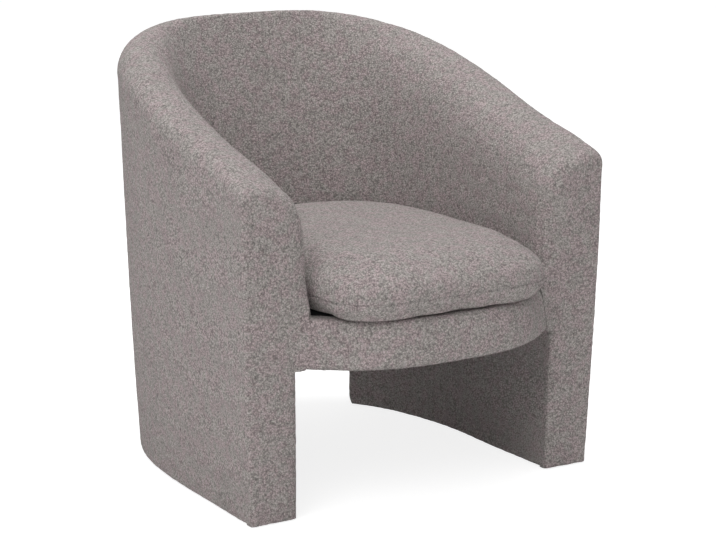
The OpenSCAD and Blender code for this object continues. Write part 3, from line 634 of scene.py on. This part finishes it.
def frontPiece(name, flip):
    w0 = np.array(-wall["sideRun"], float)
    deckZ, railZ, floorZ = pads["deckHeight"], pads["railBottom"], wall["legBottom"]
    lowZ = joined([floorZ + np.array([0, 0.7, 2, 4, 6.5]), np.linspace(floorZ + 9.5, railZ - 4, 79),
                   np.linspace(railZ - 2, railZ + 2, 9), np.linspace(railZ + 5, deckZ, 27)])
    fine = np.radians(90 * np.linspace(0, 1, 2001) ** inside["ease"])
    su, sz = shoulder(w0, np.maximum(fine, 1e-9))
    run = runAlong(su, sz)
    b = np.interp(np.linspace(0, run[-1], round(run[-1] / fabric["step"]) + 1)[1:], run, fine)
    edgeRun = np.interp(float(rimHeight(w0) - edgeRadius(w0)), sz, run)
    climb = np.clip((np.interp(b, fine, run) - edgeRun) / (run[-1] - edgeRun), 0, 1)
    outU, outZ, inU, inZ = frontLines(np.full((len(lowZ) + len(b), 1), w0), lowZ, b, climb)
    c = np.linspace(0, 1, front["columns"] + 1)
    c = between(c, 0.5 - 0.5 * np.cos(np.pi * c), front["crowding"])[None, :]
    u, z = between(outU, inU, c), between(outZ, inZ, c)
    width = np.maximum(inU - outU, 0.01)
    above = smooth(z, deckZ - 8, deckZ + 64)
    innerWide = between(front["legRound"][0], front["innerRound"][0], above)
    innerDeep = front["legRound"][1] * (1 - aboveRail(z)) + front["innerRound"][1] * above
    parts = [rounding(c * width, *front["outerRound"]),
             rounding((1 - c) * width, np.minimum(innerWide, 0.75 * width), innerDeep),
             rounding(np.maximum(topAbove(u, w0) - z, 0), *front["topRound"]),
             rounding(z - floorZ, *front["bottomRound"])]
    recess = np.minimum(np.sqrt(sum(p * p for p in parts)), pads["facing"] - 0.2)
    level = np.clip(np.abs(2 * (z - railZ) / (deckZ - railZ) - 1), 0, 1)
    recess = recess - fillet((c - 1) * width) * (1 - level ** 4) ** 0.25
    t = np.linspace(0, 1, front["bandColumns"] + 1)[None, :-1]
    outBand = between(pads["facing"], recess[:, :1], t)
    inBand = between(recess[:, -1:], pads["facing"], 1 - t[:, ::-1])
    w = w0 + joined([outBand, recess, inBand], axis=1)
    across = joined([t * 0, c, t * 0 + 1], axis=1)
    outU, outZ, inU, inZ = frontLines(w, lowZ, b, climb)
    points = wallPoint(w, between(outU, inU, across), between(outZ, inZ, across))
    if flip:
        points = mirrored(points)
    m, n = points.shape[:2]
    faces = gridFaces(m, n) + [list(range(n)), sideLoop(m, n)]
    return makePiece(name, points.reshape(-1, 3), faces, np.ones((m, n)))


for side, flip in sides:
    settle(frontPiece(side + "_front", flip), [side + "_facing_cover", side + "_facing_pad"])


# Leg walls: inside, ends and bottoms

legs = {"insideTop": 261.7, "endRound": 15, "bottomLift": 22, "insideDepth": 66, "seamGroove": 1.0,
        "bottomShare": 0.75, "bottomIn": 5, "inFrom": 12, "inTo": 34, "underGap": 0.6, "underThick": 2.2}


# Joins a right-hand mesh and its mirror image
def bothSides(points, faces, *layers):
    count = len(points)
    other = [[index + count for index in face] for face in faces]
    return (joined([points, mirrored(points)]), faces + other,
            *[joined([v.ravel(), v.ravel()]) for v in layers])


def legInsides():
    s0, s1 = along(facingW), along(legIn)
    s = s0 + seamedSteps(s1 - s0)
    w = station(s)[:, None]
    r, zb, zt = outside["bottomRound"], wall["legBottom"], legs["insideTop"]
    a = np.radians(np.linspace(90, 0, 5))[1:]
    faceZ = zt + (zb + r - zt) * np.linspace(0, 1, round((zt - zb) / fabric["step"]))
    u = joined([legDepth(faceZ), legDepth(zb + r) - r + r * np.sin(a),
                np.full(4, legs["insideDepth"])])
    z = joined([faceZ, zb + r - r * np.cos(a), zb + (zt - zb) * np.linspace(0, 1, 4)])
    skin = joined([np.ones(len(faceZ) + 4), np.zeros(4)])
    points = wallPoint(w, u[None, :], z[None, :])
    shape = points.shape[:2]
    skin = np.broadcast_to(skin, shape)
    sink = (seamDip(s - s0, outside["seamGroove"]) + seamDip(s1 - s, legs["seamGroove"]))[:, None] * skin
    made = bothSides(points.reshape(-1, 3), tubeFaces(*shape), skin, sink)
    return makePiece("leg_insides", *made)


# The end of a leg wall: a line round its rounded end, from the outside to the inside, carried up
def legEnds():
    sIn, sEnd = along(legIn), along(wall["legEndAngle"])
    r, wide, deep = legs["endRound"], wall["thickness"], sEnd - sIn
    a = np.radians(np.linspace(0, 90, 8))
    side = np.linspace(0, deep - r, 3)[:-1]
    path = joined([
        np.stack([side, side * 0], 1), np.stack([deep - r + r * np.sin(a), r - r * np.cos(a)], 1),
        np.stack([np.full(18, deep), np.linspace(r, wide - r, 20)[1:-1]], 1),
        np.stack([deep - r + r * np.cos(a), wide - r + r * np.sin(a)], 1),
        np.stack([side[::-1], side * 0 + wide], 1)])
    zb, zt = wall["legBottom"], pads["railBottom"] - 0.3
    z = zb + joined([[0, 0.5, 1.5, 3, 5, 8], np.linspace(12, zt - zb, 74)])
    lift = rounding(z - zb, legs["bottomLift"], 1.0)[:, None]
    ahead = path[None, :, 0] * (1 - legs["bottomShare"] * lift)
    aside = wide / 2 - path[None, :, 1]
    over = (path[None, :, 1] + lift * legs["bottomIn"] * np.sign(aside)
            * smooth(np.abs(aside), legs["inFrom"], legs["inTo"]))
    points = wallPoint(station(sIn + ahead), over * legDepth(z[:, None]) / wide, z[:, None])
    m, n = points.shape[:2]
    faces = gridFaces(m, n) + [list(range(n)), [(m - 1) * n + j for j in range(n)], sideLoop(m, n)]
    groove = seamDip(path[:, 0], np.where(path[:, 1] > wide / 2, legs["seamGroove"], outside["seamGroove"]))
    sink = np.broadcast_to(groove[None, :], (m, n))
    return makePiece("leg_ends", *bothSides(points.reshape(-1, 3), faces, np.ones((m, n)), sink))


# Flat fabric under a leg, as a thin slab whose edges turn up
def legBottoms():
    s0, s1 = along(facingW), along(legIn)
    w = station(np.linspace(s0, s1, 90))[:, None]
    edge = outside["bottomRound"] + legs["underGap"]
    u0, u1 = edge, float(legDepth(0)) - edge
    t = np.linspace(0, 1, 18)
    u = joined([u0 + (u1 - u0) * t, [u1, u0]])
    z = joined([wall["legBottom"] + 0.1 + 0 * t, [wall["legBottom"] + legs["underThick"]] * 2])
    points = wallPoint(w, u[None, :], z[None, :])
    shape = points.shape[:2]
    skin = np.broadcast_to(joined([t * 0 + 0.15, [0, 0]]), shape)
    return makePiece("leg_bottoms", *bothSides(points.reshape(-1, 3), tubeFaces(*shape), skin))


settle(legInsides(), ["leg_inner_covers", "leg_inner_wadding"])
settle(legEnds(), ["leg_end_covers", "leg_end_pads"])
settle(legBottoms(), ["leg_bottom_covers"])
print("walls done")


# Seat rail

rail = {"bow": 97, "bowPower": 2.9, "pad": 28, "hem": 45.6, "power": 4.0, "step": 3.0, "halfLength": 240,
        "underDeck": 3.6, "gap": 0.3}


# Half of the rail's length at height z, where it meets the pads of the arms
def railHalf(z):
    slope = (pads["armDepth"] - pads["lowDepth"]) / (pads["deckHeight"] - pads["railBottom"])
    return (wall["halfWidth"] + wall["lean"] * z - rail["gap"] - pads["lowDepth"]
            - slope * (z - pads["railBottom"]))


# A point at share k across the front, q behind the fabric: the bow is 1 - |k|^p, and a fillet leads it
# into the front of the arm
def railPoint(k, q, z):
    k, q, z = np.broadcast_arrays(k, q, z)
    ahead = rail["bow"] * (1 - np.abs(k) ** rail["bowPower"])
    ahead = np.maximum(ahead, fillet((1 - np.abs(k)) * railHalf(z)))
    y = -wall["sideRun"] - wall["frontLean"] * z - ahead + q
    return np.stack([k * railHalf(z), y, z], axis=-1)


# The rail's section is a superellipse edge: q = pad * (1 - (1 - |t|^n)^(1/n)), t from -1 to 1 in height
def railPiece():
    z0, z1 = pads["railBottom"], pads["deckHeight"] - rail["underDeck"]
    t = np.sin(np.radians(np.linspace(-90, 90, 44)))
    t = np.sign(t) * np.abs(t) ** 0.8
    face = rail["pad"] * (1 - (1 - np.abs(t) ** rail["power"]) ** (1 / rail["power"]))
    hem = rail["hem"]
    half = (hem + rail["pad"]) / 2
    q = joined([[hem, half], face, [half, hem], [hem - 3] * 2])
    z = joined([[z0, z0], (z0 + z1) / 2 + t * (z1 - z0) / 2, [z1, z1], [z1 - 4, z0 + 3]])
    skin = joined([np.ones(len(face) + 4), [0, 0]])
    k = np.linspace(-1, 1, round(2 * rail["halfLength"] / rail["step"]) + 1)
    k = np.sign(k) * np.abs(k) ** 0.85
    points = railPoint(k[:, None], q[None, :], z[None, :])
    return tubePiece("seat_rail", points, np.broadcast_to(skin, points.shape[:2]))


settle(railPiece(), ["rail_cover", "rail_foam"])


# Seat deck and dust sheet

deck = {"innerU": 57.3, "rise": 19.0, "tuck": 3.5, "rings": 46, "across": 220, "middle": 60.0, "relief": 0.2}
dust = {"height": 261.0, "fromBack": 15.0, "sag": 1.2, "thick": 0.8, "rings": 40, "middle": 80.0}


# Outline of a plate that fits inside the walls at depth u and behind the rail at q: first round the
# back, then along the front
def plateOutline(u, q, z, count):
    s0, s1 = along(facingW), along(180 - facingW)
    back = wallPoint(station(np.linspace(s0, s1, count)), u, z)[:, :2]
    k = np.linspace(-1, 1, 400)
    frontLine = railPoint(k, q, z)[:, :2]
    keep = np.abs(frontLine[:, 0]) < wall["halfWidth"] + wall["lean"] * z - u - 1
    line = joined([back, frontLine[keep]])
    run = runAlong(*line.T)
    even = np.linspace(0, run[-1], count + 1)[:-1]
    return np.stack([np.interp(even, run, line[:, 0]), np.interp(even, run, line[:, 1])], axis=1)


# Rings at the heights z: the line shrunk by each share towards a point of the chair's middle
def ringed(line, middleY, share, z):
    middle = np.array([0.0, middleY])
    flat = middle + (line - middle)[None] * share[:, None, None]
    return joined([flat, np.broadcast_to(z[:, None, None], flat.shape[:2] + (1,))], axis=2)


# A plate of rings: its top falls towards the edge by tuck * (edge share)^6
def platePiece(name, u, q, top, thick, tuck, skinShare):
    line = plateOutline(u, q, top, deck["across"])
    share = np.linspace(1, 0.02, deck["rings"])
    lower = ringed(line, deck["middle"], np.linspace(0.02, 1, 8), np.full(8, top - thick))
    points = joined([lower, ringed(line, deck["middle"], share, top - tuck * share ** 6)])
    n = points.shape[1]
    skin = joined([np.zeros((8, n)), np.full((deck["rings"], n), skinShare)])
    return tubePiece(name, points, skin, relief=deck["relief"])


lining = {"shade": (34, 34, 36), "fleck": 1500}


# Spun lining: fine random fibres and a grid of small pressed dots
def makeLining():
    g = Graph("black lining")
    where = g.place()
    fibres = g.noise(g.stretched(where, (1, 0.25, 1)), lining["fleck"], 3, 0.7)
    dots = g.cells(where, 620, randomness=0.15).ramped(0.12, 0.42)
    tone = 0.6 + fibres * 0.7
    colour = g.scaled(rgb(*lining["shade"])[:3], tone * (0.75 + dots * 0.25))
    return g.finish(Base_Color=colour, Roughness=0.85, Specular_IOR_Level=0.25,
                    Normal=g.bump(fibres * 0.4 + dots, 0.0003, 0.7))


liningCloth = makeLining()
settle(platePiece("seat_deck", deck["innerU"], rail["hem"] + rail["gap"],
                  pads["deckHeight"] - pads["deckGap"], deck["rise"] + 4, deck["tuck"], 0.25),
       ["deck_cloth", "deck_foam", "spring_felt"], liningCloth)
print("deck done")


# The dust sheet under the seat: one thin closed sheet from the rail's hem to the back's skin
def dustSheet():
    z, sL = dust["height"], along(legIn)
    side = wallPoint(station(np.linspace(along(facingW), sL, 60)), legDepth(z) + rail["gap"], z)
    back = wallPoint(station(np.linspace(sL, along(180 - legIn), 90)), dust["fromBack"], z)
    frontLine = railPoint(np.linspace(-1, 1, 80), rail["hem"] + rail["gap"], z)
    line = joined([side, back, mirrored(side)[::-1], frontLine])[:, :2]
    share = np.linspace(1, 0.02, dust["rings"])
    flat = ringed(line, dust["middle"], share, z - dust["sag"] * (1 - share ** 3))
    over = np.array([0, 0, dust["thick"]])
    points = joined([flat[::-1], flat[:1] + over, flat[-1:] + over])
    n = points.shape[1]
    skin = joined([np.full((dust["rings"], n), 0.3), np.zeros((2, n))])
    area = 0.5 * abs(np.sum(line[:, 0] * np.roll(line[:, 1], -1) - np.roll(line[:, 0], -1) * line[:, 1]))
    return tubePiece("dust_sheet", points, skin, relief=0.1), line, area


dustPiece, dustLine, dustArea = dustSheet()
settle(dustPiece, ["dust_cover"], material=liningCloth)
dustFlat = np.ptp(dustLine, axis=0) / 1000
float(dustArea / 1e6)
print("dust sheet", dustFlat.round(3), "m, area", round(dustArea / 1e6, 3))


# Seat cushion

cushion = {
    "halfWidth": 221.885, "rear": 325.885, "front": 205, "side": 100, "edge": 54, "crown": 46.5,
    "rearPower": 2.9, "frontPower": 4.2, "crownPower": 7.0, "base": 345.5, "drawIn": 12, "tuckIn": 15,
    "seam": 30, "start": 2.0, "lower": 0.7, "voxel": 0.0052, "pressure": 4.0, "tension": 18, "bending": 2.0,
    "frames": 20, "cap": 0.022, "sideways": 0.2, "evenOut": 24, "droop": 3.0, "droopWidth": 24,
    "turnAt": 0.4, "tuckPower": 1.6, "drawPower": 2.2, "drawShare": 0.6, "press": 0.9, "droopSpan": (4, 58),
    "fuller": 1.5, "flatBelow": 6, "flatShare": 0.65, "relief": (0.1, 0.9),
    "grooves": ((1.3, 2.4), (0.4, 10)),
}
cushion["middle"] = (cushion["rear"] - cushion["side"] - cushion["front"]) / 2


# Plan of the cushion, in i from its widest line: two superellipses joined by short straight sides
def cushionOutline(t, inset):
    c, s = np.cos(t), np.abs(np.sin(t))
    rearSide = np.sin(t) >= 0
    power = np.where(rearSide, cushion["rearPower"], cushion["frontPower"])
    x = (cushion["halfWidth"] - inset) * np.sign(c) * np.abs(c) ** (2 / power)
    reach = np.where(rearSide, cushion["rear"], cushion["front"]) - inset
    y = np.where(rearSide, 0, -cushion["side"]) + np.where(rearSide, 1, -1) * reach * s ** (2 / power)
    return x, y


# Side and crown in one profile: v below 1 goes up the side, with its swell, above 1 over the crown
def cushionForm(inset):
    t = joined([np.linspace(0, np.pi, 140), np.linspace(np.pi, 2 * np.pi, 140)])
    v = np.linspace(0, 1, 16)
    turn = cushion["turnAt"]
    tuck = cushion["tuckIn"] * (np.clip(turn - v, 0, 1) / turn) ** cushion["tuckPower"]
    draw = cushion["drawIn"] * (np.clip(v - turn, 0, 1) / (1 - turn)) ** cushion["drawPower"]
    belly = np.where(v < turn, tuck, cushion["drawShare"] * draw)
    k = joined([np.ones(len(v)), np.linspace(1, 0.03, 30)[1:]])
    draw = joined([belly, np.full(29, belly[-1])])
    edge = cushion["edge"] - inset
    z = joined([v * edge, edge + cushion["crown"] * cushion["lower"]
                * (1 - k[len(v):] ** cushion["crownPower"])])
    low = np.linspace(0.03, 1, 12)[:-1]
    k = joined([low, k])
    draw = joined([low * 0 + draw[0], draw])
    z = joined([low * 0, z])
    x, y = cushionOutline(t[None, :], inset + draw[:, None])
    y = cushion["middle"] + k[:, None] * (y - cushion["middle"])
    return np.stack([k[:, None] * x, y, cushion["base"] + inset * 0.4 + z[:, None] + 0 * x], axis=-1)


# Puts what a piece's modifiers make in place of its mesh
def applied(piece):
    made = bpy.data.meshes.new_from_object(piece.evaluated_get(bpy.context.evaluated_depsgraph_get()))
    old = piece.data
    piece.modifiers.clear()
    piece.data = made
    bpy.data.meshes.remove(old)


# Evens out small puckers: each round moves every value half way to the mean of its neighbours
def evened(mesh, values, rounds):
    ends = fetched(mesh.edges, "vertices", len(mesh.edges) * 2, np.int32)
    a, b = ends.reshape(-1, 2).T
    count = np.bincount(ends, minlength=len(values))[:, None]
    for _ in range(rounds):
        total = np.stack([np.bincount(a, v[b], len(v)) + np.bincount(b, v[a], len(v))
                          for v in values.T], axis=1)
        values = values / 2 + total / count / 2
    return values


# Swells a closed piece with Cloth: pressure without gravity, then no point may move further than cap.
# A share of the sideways movement is kept, as the cover is cut to the filled cushion's plan
def swell(piece, settings):
    remesh = piece.modifiers.new("Remesh", "REMESH")
    remesh.mode, remesh.voxel_size = "VOXEL", settings["voxel"]
    applied(piece)
    start = readPoints(piece.data)
    cloth = piece.modifiers.new("Cloth", "CLOTH")
    cloth.settings.use_pressure = True
    cloth.settings.uniform_pressure_force = settings["pressure"]
    cloth.settings.effector_weights.gravity = 0
    cloth.settings.tension_stiffness = settings["tension"]
    cloth.settings.bending_stiffness = settings["bending"]
    cloth.point_cache.frame_start, cloth.point_cache.frame_end = 1, settings["frames"]
    for step in range(1, settings["frames"] + 1):
        scene.frame_set(step)
    applied(piece)
    scene.frame_set(1)
    moved = readPoints(piece.data) - start
    far = np.linalg.norm(moved, axis=1)
    print("swell", piece.name, "moved up to", round(float(far.max()) * 1000, 1), "mm")
    moved *= np.minimum(1, settings["cap"] / np.maximum(far, 1e-9))[:, None]
    moved[:, :2] *= settings["sideways"]
    writePoints(piece.data, start + evened(piece.data, moved, settings["evenOut"]))


# Where y lies on the plan, made larger by extra: ahead of the sides or not, the share of its reach
# there, and the outline's power
def planShare(y, extra=0.0):
    frontSide = y < -cushion["side"]
    v = np.where(frontSide, (-cushion["side"] - y) / (cushion["front"] + extra),
                 np.maximum(y, 0) / (cushion["rear"] + extra))
    return frontSide, v, np.where(frontSide, cushion["frontPower"], cushion["rearPower"])


# Keeps points (millimetres) inside the plan that the cushion may fill
def keepInside(mm, extra):
    x, y = mm[:, 0], mm[:, 1] + wall["centreY"]
    frontSide, v, power = planShare(y, extra)
    f = (np.abs(x / (cushion["halfWidth"] + extra)) ** power + np.abs(v) ** power) ** (1 / power)
    k = np.where(f > 1, 1 / np.maximum(f, 1e-9), 1)
    base = np.where(frontSide, -cushion["side"], np.where(y > 0, 0, y))
    return np.stack([x * k, base + (y - base) * k - wall["centreY"], mm[:, 2]], axis=1)


# Share of the plan at which a point lies, from 0 in the middle to 1 at the edge, found by halving
def crownShare(x, y):
    low, high = np.full(len(x), 0.02), np.full(len(x), 1.3)
    for _ in range(18):
        k = (low + high) / 2
        v, power = planShare(cushion["middle"] + (y - cushion["middle"]) / k)[1:]
        beyond = np.abs(x / k / cushion["halfWidth"]) ** power + np.abs(v) ** power > 1
        low, high = np.where(beyond, k, low), np.where(beyond, high, k)
    return (low + high) / 2


# Presses what stands over the crown's height edge + crown (1 - k^n) down to a tenth of its excess
def keepUnder(mm):
    k = np.minimum(crownShare(mm[:, 0], mm[:, 1] + wall["centreY"]), 1)
    top = cushion["base"] + cushion["edge"] + cushion["crown"] * (1 - k ** cushion["crownPower"])
    mm[:, 2] -= cushion["press"] * np.maximum(mm[:, 2] - top, 0)
    return mm


# Lets the lower edge hang a little over the rail's rounded front
def hang(mm):
    edge = railPoint(mm[:, 0] / railHalf(cushion["base"]), 0.0, cushion["base"])[:, 1]
    ahead = 1 - smooth(mm[:, 1] + wall["centreY"] - edge, 0, cushion["droopWidth"])
    low = 1 - smooth(mm[:, 2] - cushion["base"], *cushion["droopSpan"])
    mm[:, 2] -= cushion["droop"] * ahead * low
    return mm


def makeCushion():
    piece = tubePiece("seat_cushion", cushionForm(cushion["start"]))
    swell(piece, cushion)
    finer = piece.modifiers.new("Subdivision", "SUBSURF")
    finer.levels = finer.render_levels = 1
    applied(piece)
    mesh, low = piece.data, cushion["base"]
    mm = keepUnder(keepInside(readPoints(mesh) * 1000, cushion["fuller"]))
    rise = np.maximum(mm[:, 2] - low, 0)
    mm[:, 2] = low + np.where(rise < cushion["flatBelow"], cushion["flatShare"] * rise, rise)
    writePoints(mesh, mm / 1000)
    away = mm[:, 2] - low - cushion["seam"]
    addValues(mesh, {
        "skin": np.where(mm[:, 2] < low + 1.5, *cushion["relief"]),
        "sink": sum(deep * np.exp(-(away / wide) ** 2) for deep, wide in cushion["grooves"]),
        "seamAway": away,
    })
    raiseFabric(mesh)
    mesh.shade_smooth()
    mm = readPoints(mesh) * 1000
    mm[:, 2] = np.maximum(mm[:, 2], low)
    writePoints(mesh, hang(mm) / 1000)
    return piece


seatCushion = makeCushion()
print("cushion done")


# Zip

zipper = {"radius": 401.421, "turn": 15.904, "centreY": -80.535, "height": 362.1, "tape": 22, "pitch": 1.5,
          "slot": 3.0, "slotEnds": (0.15, 0.75), "slotEdges": (0.8, 4), "front": 0.9, "rear": 1.6,
          "coil": 0.8, "coilHalf": 1.7}


# Draws the cushion's rear in to a slot for the zip: points in the slot's window move to its floor
def cutZipSlot(piece):
    mm = readPoints(piece.data) * 1000
    x, y, z = mm[:, 0], mm[:, 1] + wall["centreY"] - zipper["centreY"], mm[:, 2]
    radius, angle = np.hypot(x, y), np.degrees(np.arctan2(-x, y))
    turn, half = zipper["turn"], zipper["tape"] / 2
    window = ((1 - smooth(np.abs(angle), *(turn + v for v in zipper["slotEnds"])))
              * (1 - smooth(np.abs(z - zipper["height"]), *(half + v for v in zipper["slotEdges"]))))
    floor = zipper["radius"] - zipper["slot"]
    inward = np.where((y > 0) & (radius > floor), (radius - floor) * window, 0)
    k = 1 - inward / np.maximum(radius, 1)
    writePoints(piece.data, np.stack([x * k, y * k + zipper["centreY"] - wall["centreY"], z], 1) / 1000)


cutZipSlot(seatCushion)
settle(seatCushion, ["cushion_top_cover", "cushion_border", "cushion_bottom_cover", "cushion_wrap",
                     "cushion_foam"], boucleSeamed, "seat_cushion")


# Tape with its coil: radius = front face + coil * bell(height) * (0.6 + 0.4 cos(2 pi length / pitch))
def makeZip():
    a = np.radians(np.linspace(-zipper["turn"], zipper["turn"], 900))[:, None]
    half = zipper["tape"] / 2
    h = joined([np.linspace(-half, -3, 5), np.linspace(-2.4, 2.4, 9), np.linspace(3, half, 5)])
    turns = 0.6 + 0.4 * np.cos(2 * np.pi * a * zipper["radius"] / zipper["pitch"])
    coil = zipper["coil"] * np.exp(-(h / zipper["coilHalf"]) ** 4) * turns
    outer = zipper["radius"] - zipper["front"] + coil
    inner = np.full_like(outer, zipper["radius"] - zipper["rear"])
    radius = joined([outer, inner], axis=1)
    high = zipper["height"] + joined([h, h[::-1]]) + 0 * radius
    points = np.stack([-radius * np.sin(a), zipper["centreY"] + radius * np.cos(a), high], -1)
    return tubePiece("zip_tape_and_coil", points)


settle(makeZip(), ["zip_tape"], liningCloth, "seat_cushion")
print("zip done")


# Materials of the frame's own pieces

plywoodLook = {"face": (205, 172, 126), "dark": (168, 128, 84), "ply": 0.0014}
hardboardLook = {"face": (118, 84, 56), "dark": (84, 58, 38)}


# Plywood: long grain on the faces and thin dark and pale layers that follow the height
def makePlywood():
    g = Graph("birch plywood")
    where = g.place()
    grain = g.noise(g.stretched(where, (9, 90, 90)), 1.6, 4, 0.6)
    up = g.node("SeparateXYZ", {}, {"Vector": where}, 2)
    layers = (up / plywoodLook["ply"] * 3.1416 + grain * 1.2).maths("SINE").ramped(-0.4, 0.6)
    pores = g.noise(where, 900, 2, 0.7).ramped(0.55, 0.75)
    colour = g.mix(layers * 0.35 + grain.ramped(0.3, 0.7) * 0.4 + pores * 0.15, rgb(*plywoodLook["face"]),
                   rgb(*plywoodLook["dark"]))
    return g.finish(Base_Color=colour, Roughness=0.62 + grain * 0.15,
                    Normal=g.bump(grain + pores * 0.4, 0.0004, 0.5))


# Hardboard: pressed fibres, one smooth side
def makeHardboard():
    g = Graph("hardboard")
    where = g.place()
    fibres = g.noise(where, 380, 5, 0.75)
    blotch = g.noise(where, 26, 3, 0.5)
    colour = g.mix(fibres * 0.6 + blotch * 0.4, rgb(*hardboardLook["face"]), rgb(*hardboardLook["dark"]))
    return g.finish(Base_Color=colour, Roughness=0.5 + fibres * 0.25, Normal=g.bump(fibres, 0.0003, 0.5))


def makeSteel():
    g = Graph("zinc-plated steel")
    where = g.place()
    scuff = g.noise(where, 700, 4, 0.7)
    bloom = g.noise(where, 60, 2, 0.5)
    colour = g.mix(bloom, rgb(188, 190, 194), rgb(160, 163, 168))
    return g.finish(Base_Color=colour, Metallic=1.0, Roughness=0.28 + scuff * 0.2,
                    Normal=g.bump(scuff, 0.0001, 0.4))


def makePlastic():
    g = Graph("black moulded plastic")
    where = g.place()
    grain = g.noise(where, 1300, 2, 0.5)
    wear = g.noise(where, 90, 3, 0.6).ramped(0.5, 0.7)
    colour = g.mix(wear, rgb(30, 30, 32), rgb(46, 46, 47))
    return g.finish(Base_Color=colour, Roughness=0.42 + grain * 0.2, Normal=g.bump(grain, 0.0001, 0.5))


finishes = {"plywood": makePlywood(), "hardboard": makeHardboard(), "steel": makeSteel(),
            "glide_plastic": makePlastic(), "lining": liningCloth}
for row in frame["record"]["subparts"]:
    name, look = row["node"], finishes.get(row["material_slot"])
    if look is not None and not nodes[name].hide_render:
        nodes[name].data.materials.clear()
        nodes[name].data.materials.append(look)
print("frame materials done")


# Stage, light and camera

studio = {"azimuth": -31.018, "elevation": 12.403, "roll": -0.3715, "place": (-1.9379, -3.2995, 1.1819),
          "lens": 108.97, "ambient": 0.48, "floorHalf": 9.0}

# Lamps: name, place, height they aim at over the middle, size and watts
lamps = [
    ("key", (-2.6, -1.9, 3.4), 0.4, 2.4, 67),
    ("overhead", (0.2, 0.3, 3.6), 0.4, 2.4, 74),
    ("low fill", (-2.0, -4.0, 0.6), 0.3, 2.0, 46),
    ("side fill", (-3.6, 0.8, 0.6), 0.4, 1.8, 12),
]


def grey(value):
    return value, value, value, 1


# Floor: white to the camera and to gloss, a little darker where the chair keeps the light off
def makeStage():
    half = studio["floorHalf"]
    mesh = bpy.data.meshes.new("floor")
    corners = [(-half, -half, 0), (half, -half, 0), (half, half, 0), (-half, half, 0)]
    mesh.from_pydata(corners, [], [(0, 1, 2, 3)])
    floor = bpy.data.objects.new("floor", mesh)
    scene.collection.objects.link(floor)
    g = Graph("pale floor")
    matt, faint = (g.node("BsdfDiffuse", {}, {"Color": grey(v)}) for v in (0.82, 0.4))
    glow = g.node("Emission", {}, {"Color": grey(1), "Strength": 0.82})
    lit = g.node("AddShader", {}, [faint, glow])
    shown = g.node("MixShader", {}, [g.direct(), matt, lit])
    g.node("OutputMaterial", {}, {"Surface": shown})
    mesh.materials.append(g.owner)


def makeWorld():
    g = Graph("studio", bpy.data.worlds)
    soft, white = (g.node("Background", {}, {"Color": grey(1), "Strength": v})
                   for v in (studio["ambient"], 1.0))
    shown = g.node("MixShader", {}, [g.direct(), soft, white])
    g.node("OutputWorld", {}, {"Surface": shown})
    scene.world = g.owner


# Links a lamp or camera, with its own x, y and z along side, up and back
def stand(holder, side, up, back, where):
    scene.collection.objects.link(holder)
    holder.matrix_world = Matrix([[side[i], up[i], back[i], where[i]] for i in range(3)] + [[0, 0, 0, 1]])


# A round lamp at a place, turned to a point over the middle
def makeLamp(name, where, aimHeight, size, power):
    lamp = bpy.data.lights.new(name, "AREA")
    lamp.shape, lamp.size, lamp.energy = "DISK", size, power
    back = np.array(where, float) - np.array([0, 0, aimHeight])
    back /= np.linalg.norm(back)
    side = np.cross([0, 0, 1], back)
    side /= np.linalg.norm(side)
    stand(bpy.data.objects.new(name, lamp), side, np.cross(back, side), back, where)


def makeCamera():
    az, el, roll = (math.radians(studio[k]) for k in ("azimuth", "elevation", "roll"))
    back = np.array([math.sin(az) * math.cos(el), -math.cos(az) * math.cos(el), math.sin(el)])
    side = np.array([math.cos(az), math.sin(az), 0.0])
    up = np.cross(back, side)
    side, up = side * math.cos(roll) + up * math.sin(roll), up * math.cos(roll) - side * math.sin(roll)
    lens = bpy.data.cameras.new("camera")
    lens.lens, lens.sensor_width, lens.clip_end = studio["lens"], 36, 60
    scene.camera = bpy.data.objects.new("camera", lens)
    stand(scene.camera, side, up, back, studio["place"])


makeStage()
makeWorld()
for lampRow in lamps:
    makeLamp(*lampRow)
makeCamera()
scene.view_settings.view_transform = "Standard"
